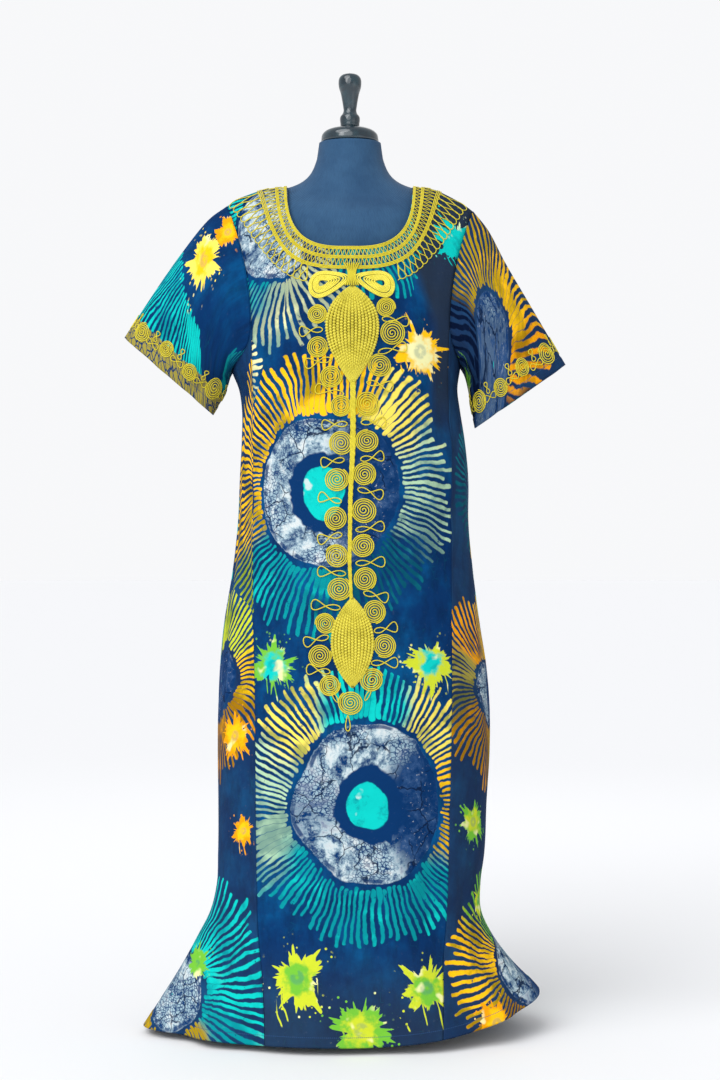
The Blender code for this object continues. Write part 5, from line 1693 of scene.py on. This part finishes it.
def batik(name, bursts, blots, painted_shade_below=0.0, dark=0.0, painted_shade_beside=None, band=None):
    """The whole print: ground, then sunburst, then splash, then stitches, paler on the inside.
    The ground can take painted shade below a height, all over or beside a line, and a cuff
    can have a crackled band."""
    material = bpy.data.materials.new(name)
    material.use_nodes = True
    tree = material.node_tree
    place = cloth_place(tree)
    x, y, _ = split(tree, place)
    inside, hem, margin = (attribute(tree, key) for key in ("inside", "hem", "margin"))
    # Painted shade: charcoal towards the hem, over a whole panel, and in a band beside a line.
    shadow = y.fade(painted_shade_below + 0.14, painted_shade_below - 0.02) * 0.75 + dark if painted_shade_below else dark
    if painted_shade_beside:
        shadow = shadow.most(x.fade(*painted_shade_beside) * y.fade(0.95, 1.10))
    colour = use(tree, GROUND, Place=place, Base=NAVY, Second=ROYAL, Dark=shadow)["Colour"]
    row = nearest(tree, place, bursts, lambda r: r[1][0])
    burst = use(tree, SUNBURST, Place=place, Centre=row[0], Rays=row[1], Eye=row[2], Shade=row[3],
                Top_Left=row[4], Top=row[5], Top_Right=row[6], Right=row[7], Foot_Right=row[8],
                Foot_Left=row[9], Left=row[10])
    colour = blend(tree, burst["Cover"], colour, burst["Colour"])
    rows = [((x_at, y_at, size), (seed, 0.0, 0.0), inner, outer)
            for x_at, y_at, size, seed, inner, outer in blots]
    spot = nearest(tree, place, rows, lambda r: r[0][2])
    seed = split(tree, spot[1])[0] if isinstance(spot[1], Wire) else spot[1][0]
    splash = use(tree, SPLASH, Place=place, Centre=spot[0], Seed=seed, Inner=spot[2], Outer=spot[3])
    colour = blend(tree, splash["Cover"], colour, splash["Colour"])
    if band:
        crackled = cells(tree, place, 95.0).fade(0.10, 0.03)
        cuff = blend(tree, crackled, band, NAVY)
        edge = (hem + (noise(tree, place, 40.0) - 0.5) * 0.012).fade(0.041, 0.038)
        colour = blend(tree, edge, colour, cuff)
    sewn_in = use(tree, SEWING, Place=place, Hem=hem, Margin=margin, Line=STITCH_LINE)
    colour = blend(tree, sewn_in["Stitch"] * 0.8, colour, SLATE)
    fade = noise(tree, place, 120.0, 3.0, 0.6)
    colour = blend(tree, fade.fade(0.60, 0.90) * 0.05, colour, ASH)
    colour = blend(tree, inside * 0.42, colour, WRONG_SIDE)
    rough = fade * 0.16 + 0.70
    weave = use(tree, WEAVE, Place=place, Thread=THREAD_PITCH)["Height"]
    soft = noise(tree, place, 16.0, 3.0, 0.55)
    fine = bump(tree, weave, 0.25, 0.00025)
    sewing = bump(tree, sewn_in["Pucker"], 0.9, 0.0012, fine)
    shader = finish(tree, colour, rough, bump(tree, soft, 0.7, 0.006, sewing))
    shader.inputs["Specular IOR Level"].default_value = 0.04
    return material


NO_EYE, DOT_EYE = (0.0, 0.0, -1.0), (0.0, 0.0, 0.0010)
NO_SHADE = (0.0, 0.0, 1.0)
CROWN_GOLD = (AMBER, GOLD, GOLD, GOLD, AMBER, AMBER, GOLD)
CROWN_SEA = (TURQUOISE, TURQUOISE, TURQUOISE, TEAL, TURQUOISE, TURQUOISE, TURQUOISE)
# centre and disc, reach with count and seed, eye, shade, seven colours clockwise from top left
FRONT_BURSTS = (
    ((-0.0360, 0.9094, 0.1200), (0.226, 104.0, 1.0), (-0.0050, 0.0, 0.0375), (1.0, 0.0, 0.25),
     GOLD, GOLD, LEMON, MIST, TEAL, TURQUOISE, GOLD),
    ((0.0300, 0.3980, 0.1265), (0.224, 110.0, 2.0), (0.0, 0.0010, 0.0370), (0.3, 1.0, 0.72),
     LEMON, TURQUOISE, LEMON, GOLD, TURQUOISE, TURQUOISE, MIST),
    ((-0.1600, 1.3850, 0.1250), (0.235, 92.0, 3.0), DOT_EYE, NO_SHADE,
     TURQUOISE, TURQUOISE, TURQUOISE, TURQUOISE, CREAM, TURQUOISE, TURQUOISE),
    ((0.0350, 1.3750, 0.0500), (0.155, 66.0, 4.0), NO_EYE, NO_SHADE,
     *(7 * (TURQUOISE,))),
    ((-0.2700, 1.1300, 0.0720), (0.112, 62.0, 5.0), NO_EYE, NO_SHADE,
     LIME, LIME, CREAM, CREAM, LIME, LIME, LIME),
)
# centre and size, seed, the colour inside and the colour outside
FRONT_BLOTS = (
    (0.1210, 1.1430, 0.0440, 1.3, CREAM, GOLD),
    (-0.1300, 0.6270, 0.0360, 2.1, TURQUOISE, LEAF),
    (0.1400, 0.6320, 0.0370, 3.7, TURQUOISE, LIME),
    (-0.0850, 0.1230, 0.0430, 4.2, LEAF, LIME),
    (0.0190, 0.0400, 0.0430, 5.9, LIME, LEAF),
    (0.1270, 0.1040, 0.0420, 6.4, LEAF, LIME),
    (0.2700, 1.3350, 0.0500, 7.2, TURQUOISE, TURQUOISE),
)
LEFT_BURSTS = (
    ((-0.1050, 0.6150, 0.0560), (0.150, 64.0, 6.0), DOT_EYE, (0.0, 0.0, -0.3),
     GOLD, LIME, LIME, GOLD, AMBER, AMBER, GOLD),
    ((-0.1900, 0.0850, 0.0680), (0.215, 76.0, 7.0), DOT_EYE, NO_SHADE,
     TURQUOISE, TURQUOISE, TURQUOISE, TURQUOISE, GOLD, GOLD, TURQUOISE),
    ((0.1260, 0.9094, 0.1200), (0.245, 104.0, 1.0), NO_EYE, NO_SHADE,
     GOLD, GOLD, GOLD, GOLD, LEAF, LIME, GOLD),
)
LEFT_BLOTS = (
    (-0.0336, 0.3566, 0.0240, 1.9, GOLD, AMBER),
    (-0.0490, 0.5150, 0.0330, 8.9, GOLD, AMBER),
    (-0.1400, 0.1350, 0.0250, 2.9, LEAF, LEAF),
)
RIGHT_BURSTS = (
    ((0.1150, 0.6050, 0.0560), (0.160, 70.0, 9.0), DOT_EYE, (0.4, 0.0, 0.1),
     AMBER, GOLD, GOLD, GOLD, GOLD, AMBER, OLIVE),
    ((0.2200, 0.1300, 0.0800), (0.205, 84.0, 10.0), DOT_EYE, (0.4, 0.0, -0.1),
     LEAF, LEAF, GOLD, GOLD, AMBER, AMBER, GOLD),
    ((0.1500, 0.9400, 0.0700), (0.130, 60.0, 11.0), DOT_EYE, (0.0, 0.0, 0.1),
     TEAL, TEAL, LEAF, LEAF, TEAL, TEAL, TEAL),
)
RIGHT_BLOTS = (
    (0.0592, 0.3785, 0.0310, 3.4, LIME, LEAF),
    (0.1070, 0.2528, 0.0260, 4.4, LEAF, LIME),
    (0.1000, 0.0380, 0.0330, 5.4, GOLD, AMBER),
)
SLEEVE_LEFT_BURSTS = (
    ((0.1000, -0.0900, 0.2050), (0.380, 200.0, 12.0), NO_EYE, NO_SHADE) + CROWN_SEA,
    ((0.1900, 0.0100, 0.0250), (0.060, 24.0, 13.0), NO_EYE, NO_SHADE) + CROWN_GOLD,
    ((-0.1500, 0.1400, 0.0600), (0.130, 56.0, 14.0), (0.0, 0.0, 0.0180), (0.5, 0.0, 0.2),
     *CROWN_GOLD),
)
SLEEVE_LEFT_BLOTS = (
    (0.0930, 0.0700, 0.0400, 1.1, GOLD, LEMON),
    (0.0850, 0.0130, 0.0260, 2.2, GOLD, AMBER),
    (-0.0800, 0.0450, 0.0280, 3.3, LEAF, LIME),
)
SLEEVE_RIGHT_BURSTS = (
    ((0.1650, 0.1200, 0.0620), (0.190, 66.0, 15.0), DOT_EYE, (0.0, 0.0, -0.1),
     AMBER, INK, INK, INK, INK, GOLD, GOLD),
    ((-0.1500, 0.1300, 0.0600), (0.130, 56.0, 16.0), (0.0, 0.0, 0.0180), (0.5, 0.0, 0.2),
     *CROWN_SEA),
)
SLEEVE_RIGHT_BLOTS = (
    (0.3000, 0.0500, 0.0300, 4.1, CREAM, LEAF),
    (-0.0800, 0.0550, 0.0300, 5.1, GOLD, LEMON),
)
BACK_BURSTS = (
    ((0.0250, 1.0300, 0.1180), (0.224, 104.0, 17.0), (0.0, 0.0, 0.0370), (1.0, 0.0, 0.20),
     LEMON, GOLD, GOLD, MIST, TURQUOISE, TURQUOISE, GOLD),
    ((-0.0300, 0.5400, 0.1250), (0.226, 108.0, 18.0), (0.0, 0.0, 0.0370), (0.0, 1.0, 0.66),
     GOLD, TURQUOISE, LEMON, LEMON, TURQUOISE, TURQUOISE, MIST),
    ((0.0500, 0.0600, 0.1150), (0.215, 100.0, 19.0), (0.0, 0.0, 0.0350), (0.6, 0.0, 0.20),
     TURQUOISE, LIME, LEMON, GOLD, GOLD, LEAF, TURQUOISE),
    ((0.3100, 0.7600, 0.0700), (0.155, 60.0, 20.0), (0.0, 0.0, 0.0200), (0.5, 0.0, 0.10),
     *CROWN_GOLD),
    ((-0.3100, 0.8000, 0.0700), (0.155, 60.0, 21.0), (0.0, 0.0, 0.0200), (0.5, 0.0, 0.10),
     *CROWN_SEA),
    ((0.3300, 0.2300, 0.0750), (0.165, 62.0, 22.0), (0.0, 0.0, 0.0220), (0.5, 0.0, 0.10),
     *CROWN_SEA),
    ((-0.3400, 0.2600, 0.0750), (0.165, 62.0, 23.0), (0.0, 0.0, 0.0220), (0.5, 0.0, 0.10),
     *CROWN_GOLD),
    ((-0.1000, 1.3900, 0.0800), (0.175, 64.0, 24.0), DOT_EYE, (0.5, 0.0, 0.30),
     *CROWN_SEA),
)
BACK_BLOTS = (
    (0.1900, 1.2500, 0.0420, 1.7, CREAM, GOLD),
    (-0.1800, 0.7800, 0.0360, 2.7, TURQUOISE, LEAF),
    (0.1900, 0.8000, 0.0360, 3.1, TURQUOISE, LIME),
    (0.1900, 0.3300, 0.0380, 4.7, LEAF, LIME),
    (-0.2300, 0.0700, 0.0420, 5.7, LIME, LEAF),
    (0.2900, 0.0500, 0.0380, 6.7, LEAF, LIME),
    (-0.2000, 1.1300, 0.0340, 7.7, GOLD, AMBER),
)

# The shade settings paint charcoal shade: at the hem, down the front panel's right edge, and over
# the gores and the right sleeve.
LOOKS = (
    (front_piece, "batik_front", FRONT_BURSTS, FRONT_BLOTS,
     {"painted_shade_below": 0.06, "painted_shade_beside": (0.130, 0.165)}),
    (gore_pieces[0], "batik_gore_left", LEFT_BURSTS, LEFT_BLOTS, {"dark": 0.35}),
    (gore_pieces[1], "batik_gore_right", RIGHT_BURSTS, RIGHT_BLOTS, {"dark": 0.55}),
    (back_piece, "batik_back", BACK_BURSTS, BACK_BLOTS, {"painted_shade_below": 0.04}),
    (sleeve_pieces[0], "batik_sleeve_left", SLEEVE_LEFT_BURSTS, SLEEVE_LEFT_BLOTS, {"band": OLIVE}),
    (sleeve_pieces[1], "batik_sleeve_right", SLEEVE_RIGHT_BURSTS, SLEEVE_RIGHT_BLOTS,
     {"dark": 0.5}),
)
for piece, name, bursts, blots, settings in LOOKS:
    piece.data.materials.append(batik(name, bursts, blots, **settings))
print(len(LOOKS), "batik materials,", len(front_piece.data.materials[0].node_tree.nodes),
      "nodes in front")

# %% [markdown]
# ## Twisted thread
# The cord is rayon, two strands twisted, with a soft shine. The tube's own map runs along the cord
# in metres, and a sine of the length plus the turn round the tube makes the strands. A dark line of
# painted shade between the strands matters more than the shine for telling a cord from a pipe.


# %% Thread material
def thread(name, light, deep, twist, rough):
    """Two strands that turn once in a length of twist, light on top, with the deep colour
    between them as painted shade in the groove.
    """
    material = bpy.data.materials.new(name)
    material.use_nodes = True
    tree = material.node_tree
    along, turned, _ = split(tree, cloth_place(tree))
    strand = (along * (2 * math.pi / twist) + turned * (1 / MAP_RADIUS)).sine() * 0.5 + 0.5
    wear = noise(tree, object_place(tree), 60.0, 3.0, 0.6)
    fibres = noise(tree, join(tree, along * 8.0, turned * 90.0, wear), 60.0, 3.0, 0.6)
    # Painted shade: the groove between the strands takes the deep colour. The wear clouds below
    # darken the cord at random.
    colour = blend(tree, strand.fade(0.05, 0.55), deep, light)
    colour = blend(tree, wear.fade(0.40, 0.75) * 0.55, colour, deep)
    fine = bump(tree, fibres, 0.4, 0.0002)
    shader = finish(tree, colour, fibres * 0.2 + rough, bump(tree, strand, 0.8, 0.0004, fine))
    shader.inputs["Sheen Weight"].default_value = 0.05
    shader.inputs["Specular IOR Level"].default_value = 0.25
    return material


CORD = thread("thread_cord", (0.800, 0.690, 0.045, 1), (0.500, 0.410, 0.016, 1), 0.0019, 0.45)
SATIN = thread("thread_satin", (0.920, 0.820, 0.110, 1), (0.640, 0.540, 0.030, 1), 0.0024, 0.40)
STITCH = thread("thread_stitch", (0.840, 0.740, 0.085, 1), (0.420, 0.350, 0.015, 1), 0.0016, 0.48)
# Painted shade: the padding's dark thread colour stands for the shade in the gaps between the chain
# stitches.
SHADE_PADDING = thread("padding_painted_shade", (0.340, 0.290, 0.020, 1), (0.180, 0.150, 0.012, 1), 0.0015, 0.60)
for piece in (neck_front, neck_back, stem_piece, coil_piece, *cuff_pieces):
    piece.data.materials.append(CORD)
for piece in (bow_left, bow_right):
    piece.data.materials.append(SATIN)
for piece in (upper_leaf, lower_leaf):
    piece.data.materials.append(STITCH)
    piece.data.materials.append(SHADE_PADDING)
print("four threads")

# %% [markdown]
# ## The dress form
# The form is a padded torso with a jersey cover, a lacquered cap and a turned finial, on a steel
# pole and base. Its sections come from the same tables as the solid, drawn with 96 sides and many
# more rings, since its neck is bare in the photograph and a facet would show there.

# %% Form
# height, half-width, depth in front and depth behind; the shoulders' rows have half-width, the two
# depths and how far they lie under the cloth
FORM_NECK = np.array((
    (1.5017, 0.0525, 0.049, 0.049), (1.4900, 0.0540, 0.050, 0.050), (1.4700, 0.0570, 0.053, 0.052),
    (1.4536, 0.0604, 0.056, 0.054), (1.4434, 0.0655, 0.059, 0.056), (1.4350, 0.0725, 0.062, 0.058),
))
FORM_SHOULDERS = np.array((
    (0.086, 0.068, 0.061, 0.0006), (0.107, 0.077, 0.066, 0.0006), (0.118, 0.081, 0.068, 0.0006),
    (0.135, 0.087, 0.072, 0.0016), (0.160, 0.096, 0.078, 0.0028), (0.178, 0.102, 0.082, 0.0042),
))
FORM_TORSO = np.array((
    (1.372, 0.185, 0.101, 0.078), (1.345, 0.188, 0.109, 0.084), (1.300, 0.184, 0.119, 0.091),
    (1.245, 0.178, 0.127, 0.093), (1.185, 0.170, 0.133, 0.094), (1.135, 0.163, 0.133, 0.093),
    (1.080, 0.152, 0.123, 0.090), (1.020, 0.138, 0.110, 0.086), (0.970, 0.131, 0.104, 0.085),
    (0.915, 0.137, 0.107, 0.092), (0.860, 0.149, 0.114, 0.103), (0.805, 0.157, 0.118, 0.110),
    (0.760, 0.156, 0.117, 0.109), (0.736, 0.146, 0.109, 0.101),
))


def cloth_over(x, y):
    """Height of the cloth over a place on the shoulders, from the yoke's own arc."""
    line = shoulder_line(x, np.abs(x))
    level = np.full(np.shape(x), GORE_TOP)
    wide = body_value(LEFT, RIGHT, x, level)
    deep = np.where(y < 0, smooth(BODY, FRONT, level), smooth(BODY, BACK, level))
    lean = np.clip(np.abs(y) / (deep * np.sqrt(1.0 - (x / wide) ** 2)), 0.0, 1.0)
    return GORE_TOP + (line - GORE_TOP) * (1.0 - lean**SHOULDER_ARC) ** (1 / SHOULDER_ARC)


def rows_between(table, count):
    """More rows of a table, along the smooth curve through them."""
    numbered = np.concatenate([np.arange(len(table))[:, None], table], axis=1)
    at = np.linspace(0.0, len(table) - 1.0, count)
    return np.stack([smooth(numbered, k, at) for k in range(1, table.shape[1] + 1)], axis=1)


FORM_SIDES = 96


def form_ring(row, under_cloth):
    """An ellipse of its own depth in front and behind: level, or a little way under the cloth."""
    turn = np.arange(FORM_SIDES) * 2 * math.pi / FORM_SIDES
    half, front, back = row[:3] if under_cloth else row[1:]
    x = half * np.cos(turn)
    y = np.where(np.sin(turn) < 0, front, back) * np.sin(turn)
    if under_cloth:
        sink = 0.0024 * np.minimum(np.abs(y) / 0.012, 1.0) + 0.095 * np.abs(y)
        z = cloth_over(x, y) - WALL - row[3] - sink
    else:
        z = np.full(FORM_SIDES, row[0])
    return np.stack([x, y, z], axis=1)


def form_rings():
    """Rings of the neck, the shoulders and the torso from the top down, run into each other."""
    tables = ((FORM_NECK, 21, False), (FORM_SHOULDERS, 21, True), (FORM_TORSO, 53, False))
    rings = np.array([form_ring(row, under_cloth) for table, count, under_cloth in tables
                      for row in rows_between(table, count)])
    # The rings of the chest start below the shoulders' last one, so that no fold shows in the neck.
    for below in range(42, 47):
        rings[below, :, 2] = np.minimum(rings[below, :, 2], rings[below - 1, :, 2] - 0.003)
    # Neck, shoulders and chest run into each other: each ring there moves to its neighbours' mean.
    for first, last, rounds in ((8, 31, 60), (38, 48, 14)):
        for _ in range(rounds):
            rings[first:last] = (rings[first - 1:last - 1] + 2.0 * rings[first:last]
                                 + rings[first + 1:last + 1]) / 4.0
    return rings


def closed_piece(name, rings, sharp=True):
    """A stack of rings made a closed piece: quads between the rings, and a fan to a middle point
    at each end. Where it is sharp, edges of more than 42 degrees stay edges."""
    count, sides = rings.shape[:2]
    index = np.arange(count * sides).reshape(count, sides)
    after = np.roll(index, -1, axis=1)
    quads = np.stack([index[:-1], after[:-1], after[1:], index[1:]], axis=-1).reshape(-1, 4)
    ends = count * sides + np.arange(2)
    top = np.stack([index[0], np.full(sides, ends[0]), after[0]], axis=1)
    foot = np.stack([index[-1], after[-1], np.full(sides, ends[1])], axis=1)
    points = np.concatenate([rings.reshape(-1, 3), rings[0].mean(0)[None], rings[-1].mean(0)[None]])
    mesh = bpy.data.meshes.new(name)
    faces = [tuple(f) for f in quads] + [tuple(f) for f in top] + [tuple(f) for f in foot]
    mesh.from_pydata(points.tolist(), [], faces)
    mesh.update()
    area = sum(p.area * (p.normal @ (p.center - Vector(points.mean(0)))) for p in mesh.polygons)
    if area < 0:
        mesh.flip_normals()
    mesh.polygons.foreach_set("use_smooth", np.ones(len(faces), bool))
    if sharp:
        mesh.set_sharp_from_angle(angle=math.radians(42))
    obj = bpy.data.objects.new(name, mesh)
    scene.collection.objects.link(obj)
    return obj


def turned_piece(name, profile):
    """A profile of radius and height turned round the middle axis, with three rings to a row."""
    rows = np.array(profile)
    steps = np.concatenate([[0.0], np.cumsum(np.linalg.norm(np.diff(rows, axis=0), axis=1))])
    table = np.concatenate([steps[:, None], rows], axis=1)
    at = np.linspace(0.0, steps[-1], 3 * len(rows))
    radius, height = smooth(table, 1, at), smooth(table, 2, at)
    turn = np.arange(FORM_SIDES) * 2 * math.pi / FORM_SIDES
    rings = np.stack([radius[:, None] * np.cos(turn), radius[:, None] * np.sin(turn),
                      np.repeat(height[:, None], FORM_SIDES, axis=1)], axis=-1)
    return closed_piece(name, rings[::-1])


# radius and height
NECK_CAP = (
    (0.0460, 1.5020), (0.0484, 1.5042), (0.0486, 1.5100), (0.0476, 1.5155),
    (0.0440, 1.5205), (0.0380, 1.5243), (0.0290, 1.5268), (0.0180, 1.5280),
)
FINIAL = (
    (0.0142, 1.5283), (0.0160, 1.5310), (0.0162, 1.5350), (0.0170, 1.5410), (0.0165, 1.5470),
    (0.0125, 1.5525), (0.0112, 1.5560), (0.0120, 1.5660), (0.0138, 1.5770), (0.0158, 1.5870),
    (0.0186, 1.5960), (0.0196, 1.6050), (0.0186, 1.6120), (0.0150, 1.6170), (0.0080, 1.6200),
)
torso_piece = closed_piece("torso_cover", form_rings(), sharp=False)
cap_piece = turned_piece("neck_cap_turned", NECK_CAP)
finial_piece = turned_piece("finial_turned", FINIAL)
print("torso", len(torso_piece.data.polygons), "faces, finial", len(finial_piece.data.polygons))


# %% Jersey, lacquer and steel
def jersey():
    """Knit ribs round the form: the angle times a radius goes across, the height goes up."""
    material = plain_material("jersey_cover", (0.03, 0.07, 0.14), 0.85, Sheen_Weight=0.08,
                              Specular_IOR_Level=0.2)
    tree = material.node_tree
    x, y, z = split(tree, object_place(tree))
    round_form = calc(tree, "ARCTAN2", y, x) * 0.06
    knit = join(tree, round_form, z, 0.0)
    rows = use(tree, WEAVE, Place=knit, Thread=0.0011)["Height"]
    cloud = noise(tree, object_place(tree), 14.0, 4.0, 0.6)
    colour = blend(tree, cloud.fade(0.3, 0.7), (0.018, 0.066, 0.150, 1), (0.032, 0.096, 0.196, 1))
    # Painted shade: darker where the knit's rows sink, in the hollows between them.
    colour = blend(tree, rows.fade(0.7, 0.2) * 0.35, colour, (0.006, 0.018, 0.040, 1))
    finish(tree, colour, cloud * 0.12 + 0.78, bump(tree, rows, 0.35, 0.0004))
    return material


def lacquer():
    """Dark gloss with a thin clear coat and a few rubbed clouds."""
    material = plain_material("gloss_lacquer", (0.004, 0.02, 0.03), 0.2, Coat_Weight=0.8,
                              Coat_Roughness=0.06)
    tree = material.node_tree
    cloud = noise(tree, object_place(tree), 40.0, 5.0, 0.65)
    colour = blend(tree, cloud.fade(0.35, 0.75), (0.003, 0.014, 0.024, 1), (0.008, 0.040, 0.056, 1))
    waves = noise(tree, object_place(tree), 26.0, 2.0)
    finish(tree, colour, cloud * 0.18 + 0.12, bump(tree, waves, 0.15, 0.0006))
    return material


def steel():
    """Satin grey steel: rings left by the lathe, stretched round the axis, and small scuffs."""
    material = plain_material("satin_steel", (0.22, 0.23, 0.24), 0.4)
    tree = material.node_tree
    x, y, z = split(tree, object_place(tree))
    rings = noise(tree, join(tree, length_of(x, y) * 9.0, z * 9.0, 0.0), 90.0, 3.0, 0.6)
    scuff = noise(tree, object_place(tree), 55.0, 6.0, 0.7)
    colour = blend(tree, rings, (0.15, 0.16, 0.17, 1), (0.30, 0.31, 0.32, 1))
    colour = blend(tree, scuff.fade(0.62, 0.72) * 0.6, colour, (0.45, 0.46, 0.47, 1))
    shader = finish(tree, colour, rings * 0.22 + 0.26, bump(tree, rings, 0.2, 0.0003))
    plug(tree, scuff.fade(0.75, 0.60) * 0.25 + 0.70, shader.inputs["Metallic"])
    return material


torso_piece.data.materials.append(jersey())
LACQUER, STEEL = lacquer(), steel()
cap_piece.data.materials.append(LACQUER)
finial_piece.data.materials.append(LACQUER)
for node in ("pole", "base_plate"):
    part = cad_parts[node]
    for slot in part.material_slots:
        slot.material = STEEL
print("jersey, lacquer and steel")

# %% [markdown]
# ## Telling the frame what each piece stands for
# The dress is one rigid body on its stand, so every piece rides on the root. Each piece names the
# solid that it replaces, which is then hidden; the tables also list each piece's finish and each
# panel's flat cut.

# %% Riding and replacing
CLOTH = (
    (front_piece, "front_panel", "batik_blue"), (gore_pieces[0], "gore_left", "batik_slate"),
    (gore_pieces[1], "gore_right", "batik_slate"), (back_piece, "back_panel", "batik_back"),
    (sleeve_pieces[0], "sleeve_left", "batik_turquoise"),
    (sleeve_pieces[1], "sleeve_right", "batik_turquoise"),
)
THREAD = (
    (neck_front, "neck_embroidery_front"), (neck_back, "neck_embroidery_back"),
    (bow_left, "bow_loop_left"), (bow_right, "bow_loop_right"), (upper_leaf, "upper_oval"),
    (lower_leaf, "lower_oval"), (stem_piece, "stem"),
)
STAND = (
    (torso_piece, "form_torso", "form_jersey"), (cap_piece, "neck_cap", "form_lacquer"),
    (finial_piece, "finial", "form_lacquer"),
)
for piece, node, slot in CLOTH + tuple((p, n, "thread_yellow") for p, n in THREAD) + STAND:
    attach(piece, "root")
    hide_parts(node)
for piece in (coil_piece, *cuff_pieces):
    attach(piece, "root")
print(len(CLOTH) + len(THREAD) + len(STAND) + 3, "pieces ride")

# %% How each panel was cut
# piece, width and length of the flat cut, its own area, what it hangs on, what is sewn to it
SHEETS = (
    (front_piece, (0.58, 1.42), 0.494, ("form_torso",),
     [neck_front, bow_left, bow_right, upper_leaf, lower_leaf, stem_piece, coil_piece]),
    (gore_pieces[0], (0.30, 1.20), 0.172, ("front_panel",), []),
    (gore_pieces[1], (0.28, 1.20), 0.159, ("front_panel",), []),
    (back_piece, (0.98, 1.46), 0.811, ("form_torso",), [neck_back]),
    (sleeve_pieces[0], (0.76, 0.31), 0.118, ("front_panel", "back_panel"), [cuff_pieces[0]]),
    (sleeve_pieces[1], (0.72, 0.32), 0.112, ("front_panel", "back_panel"), [cuff_pieces[1]]),
)
for piece, flat, area, rests, sewn_on in SHEETS:
    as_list(rests)
    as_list(sewn_on)
print(len(SHEETS), "panels declared")
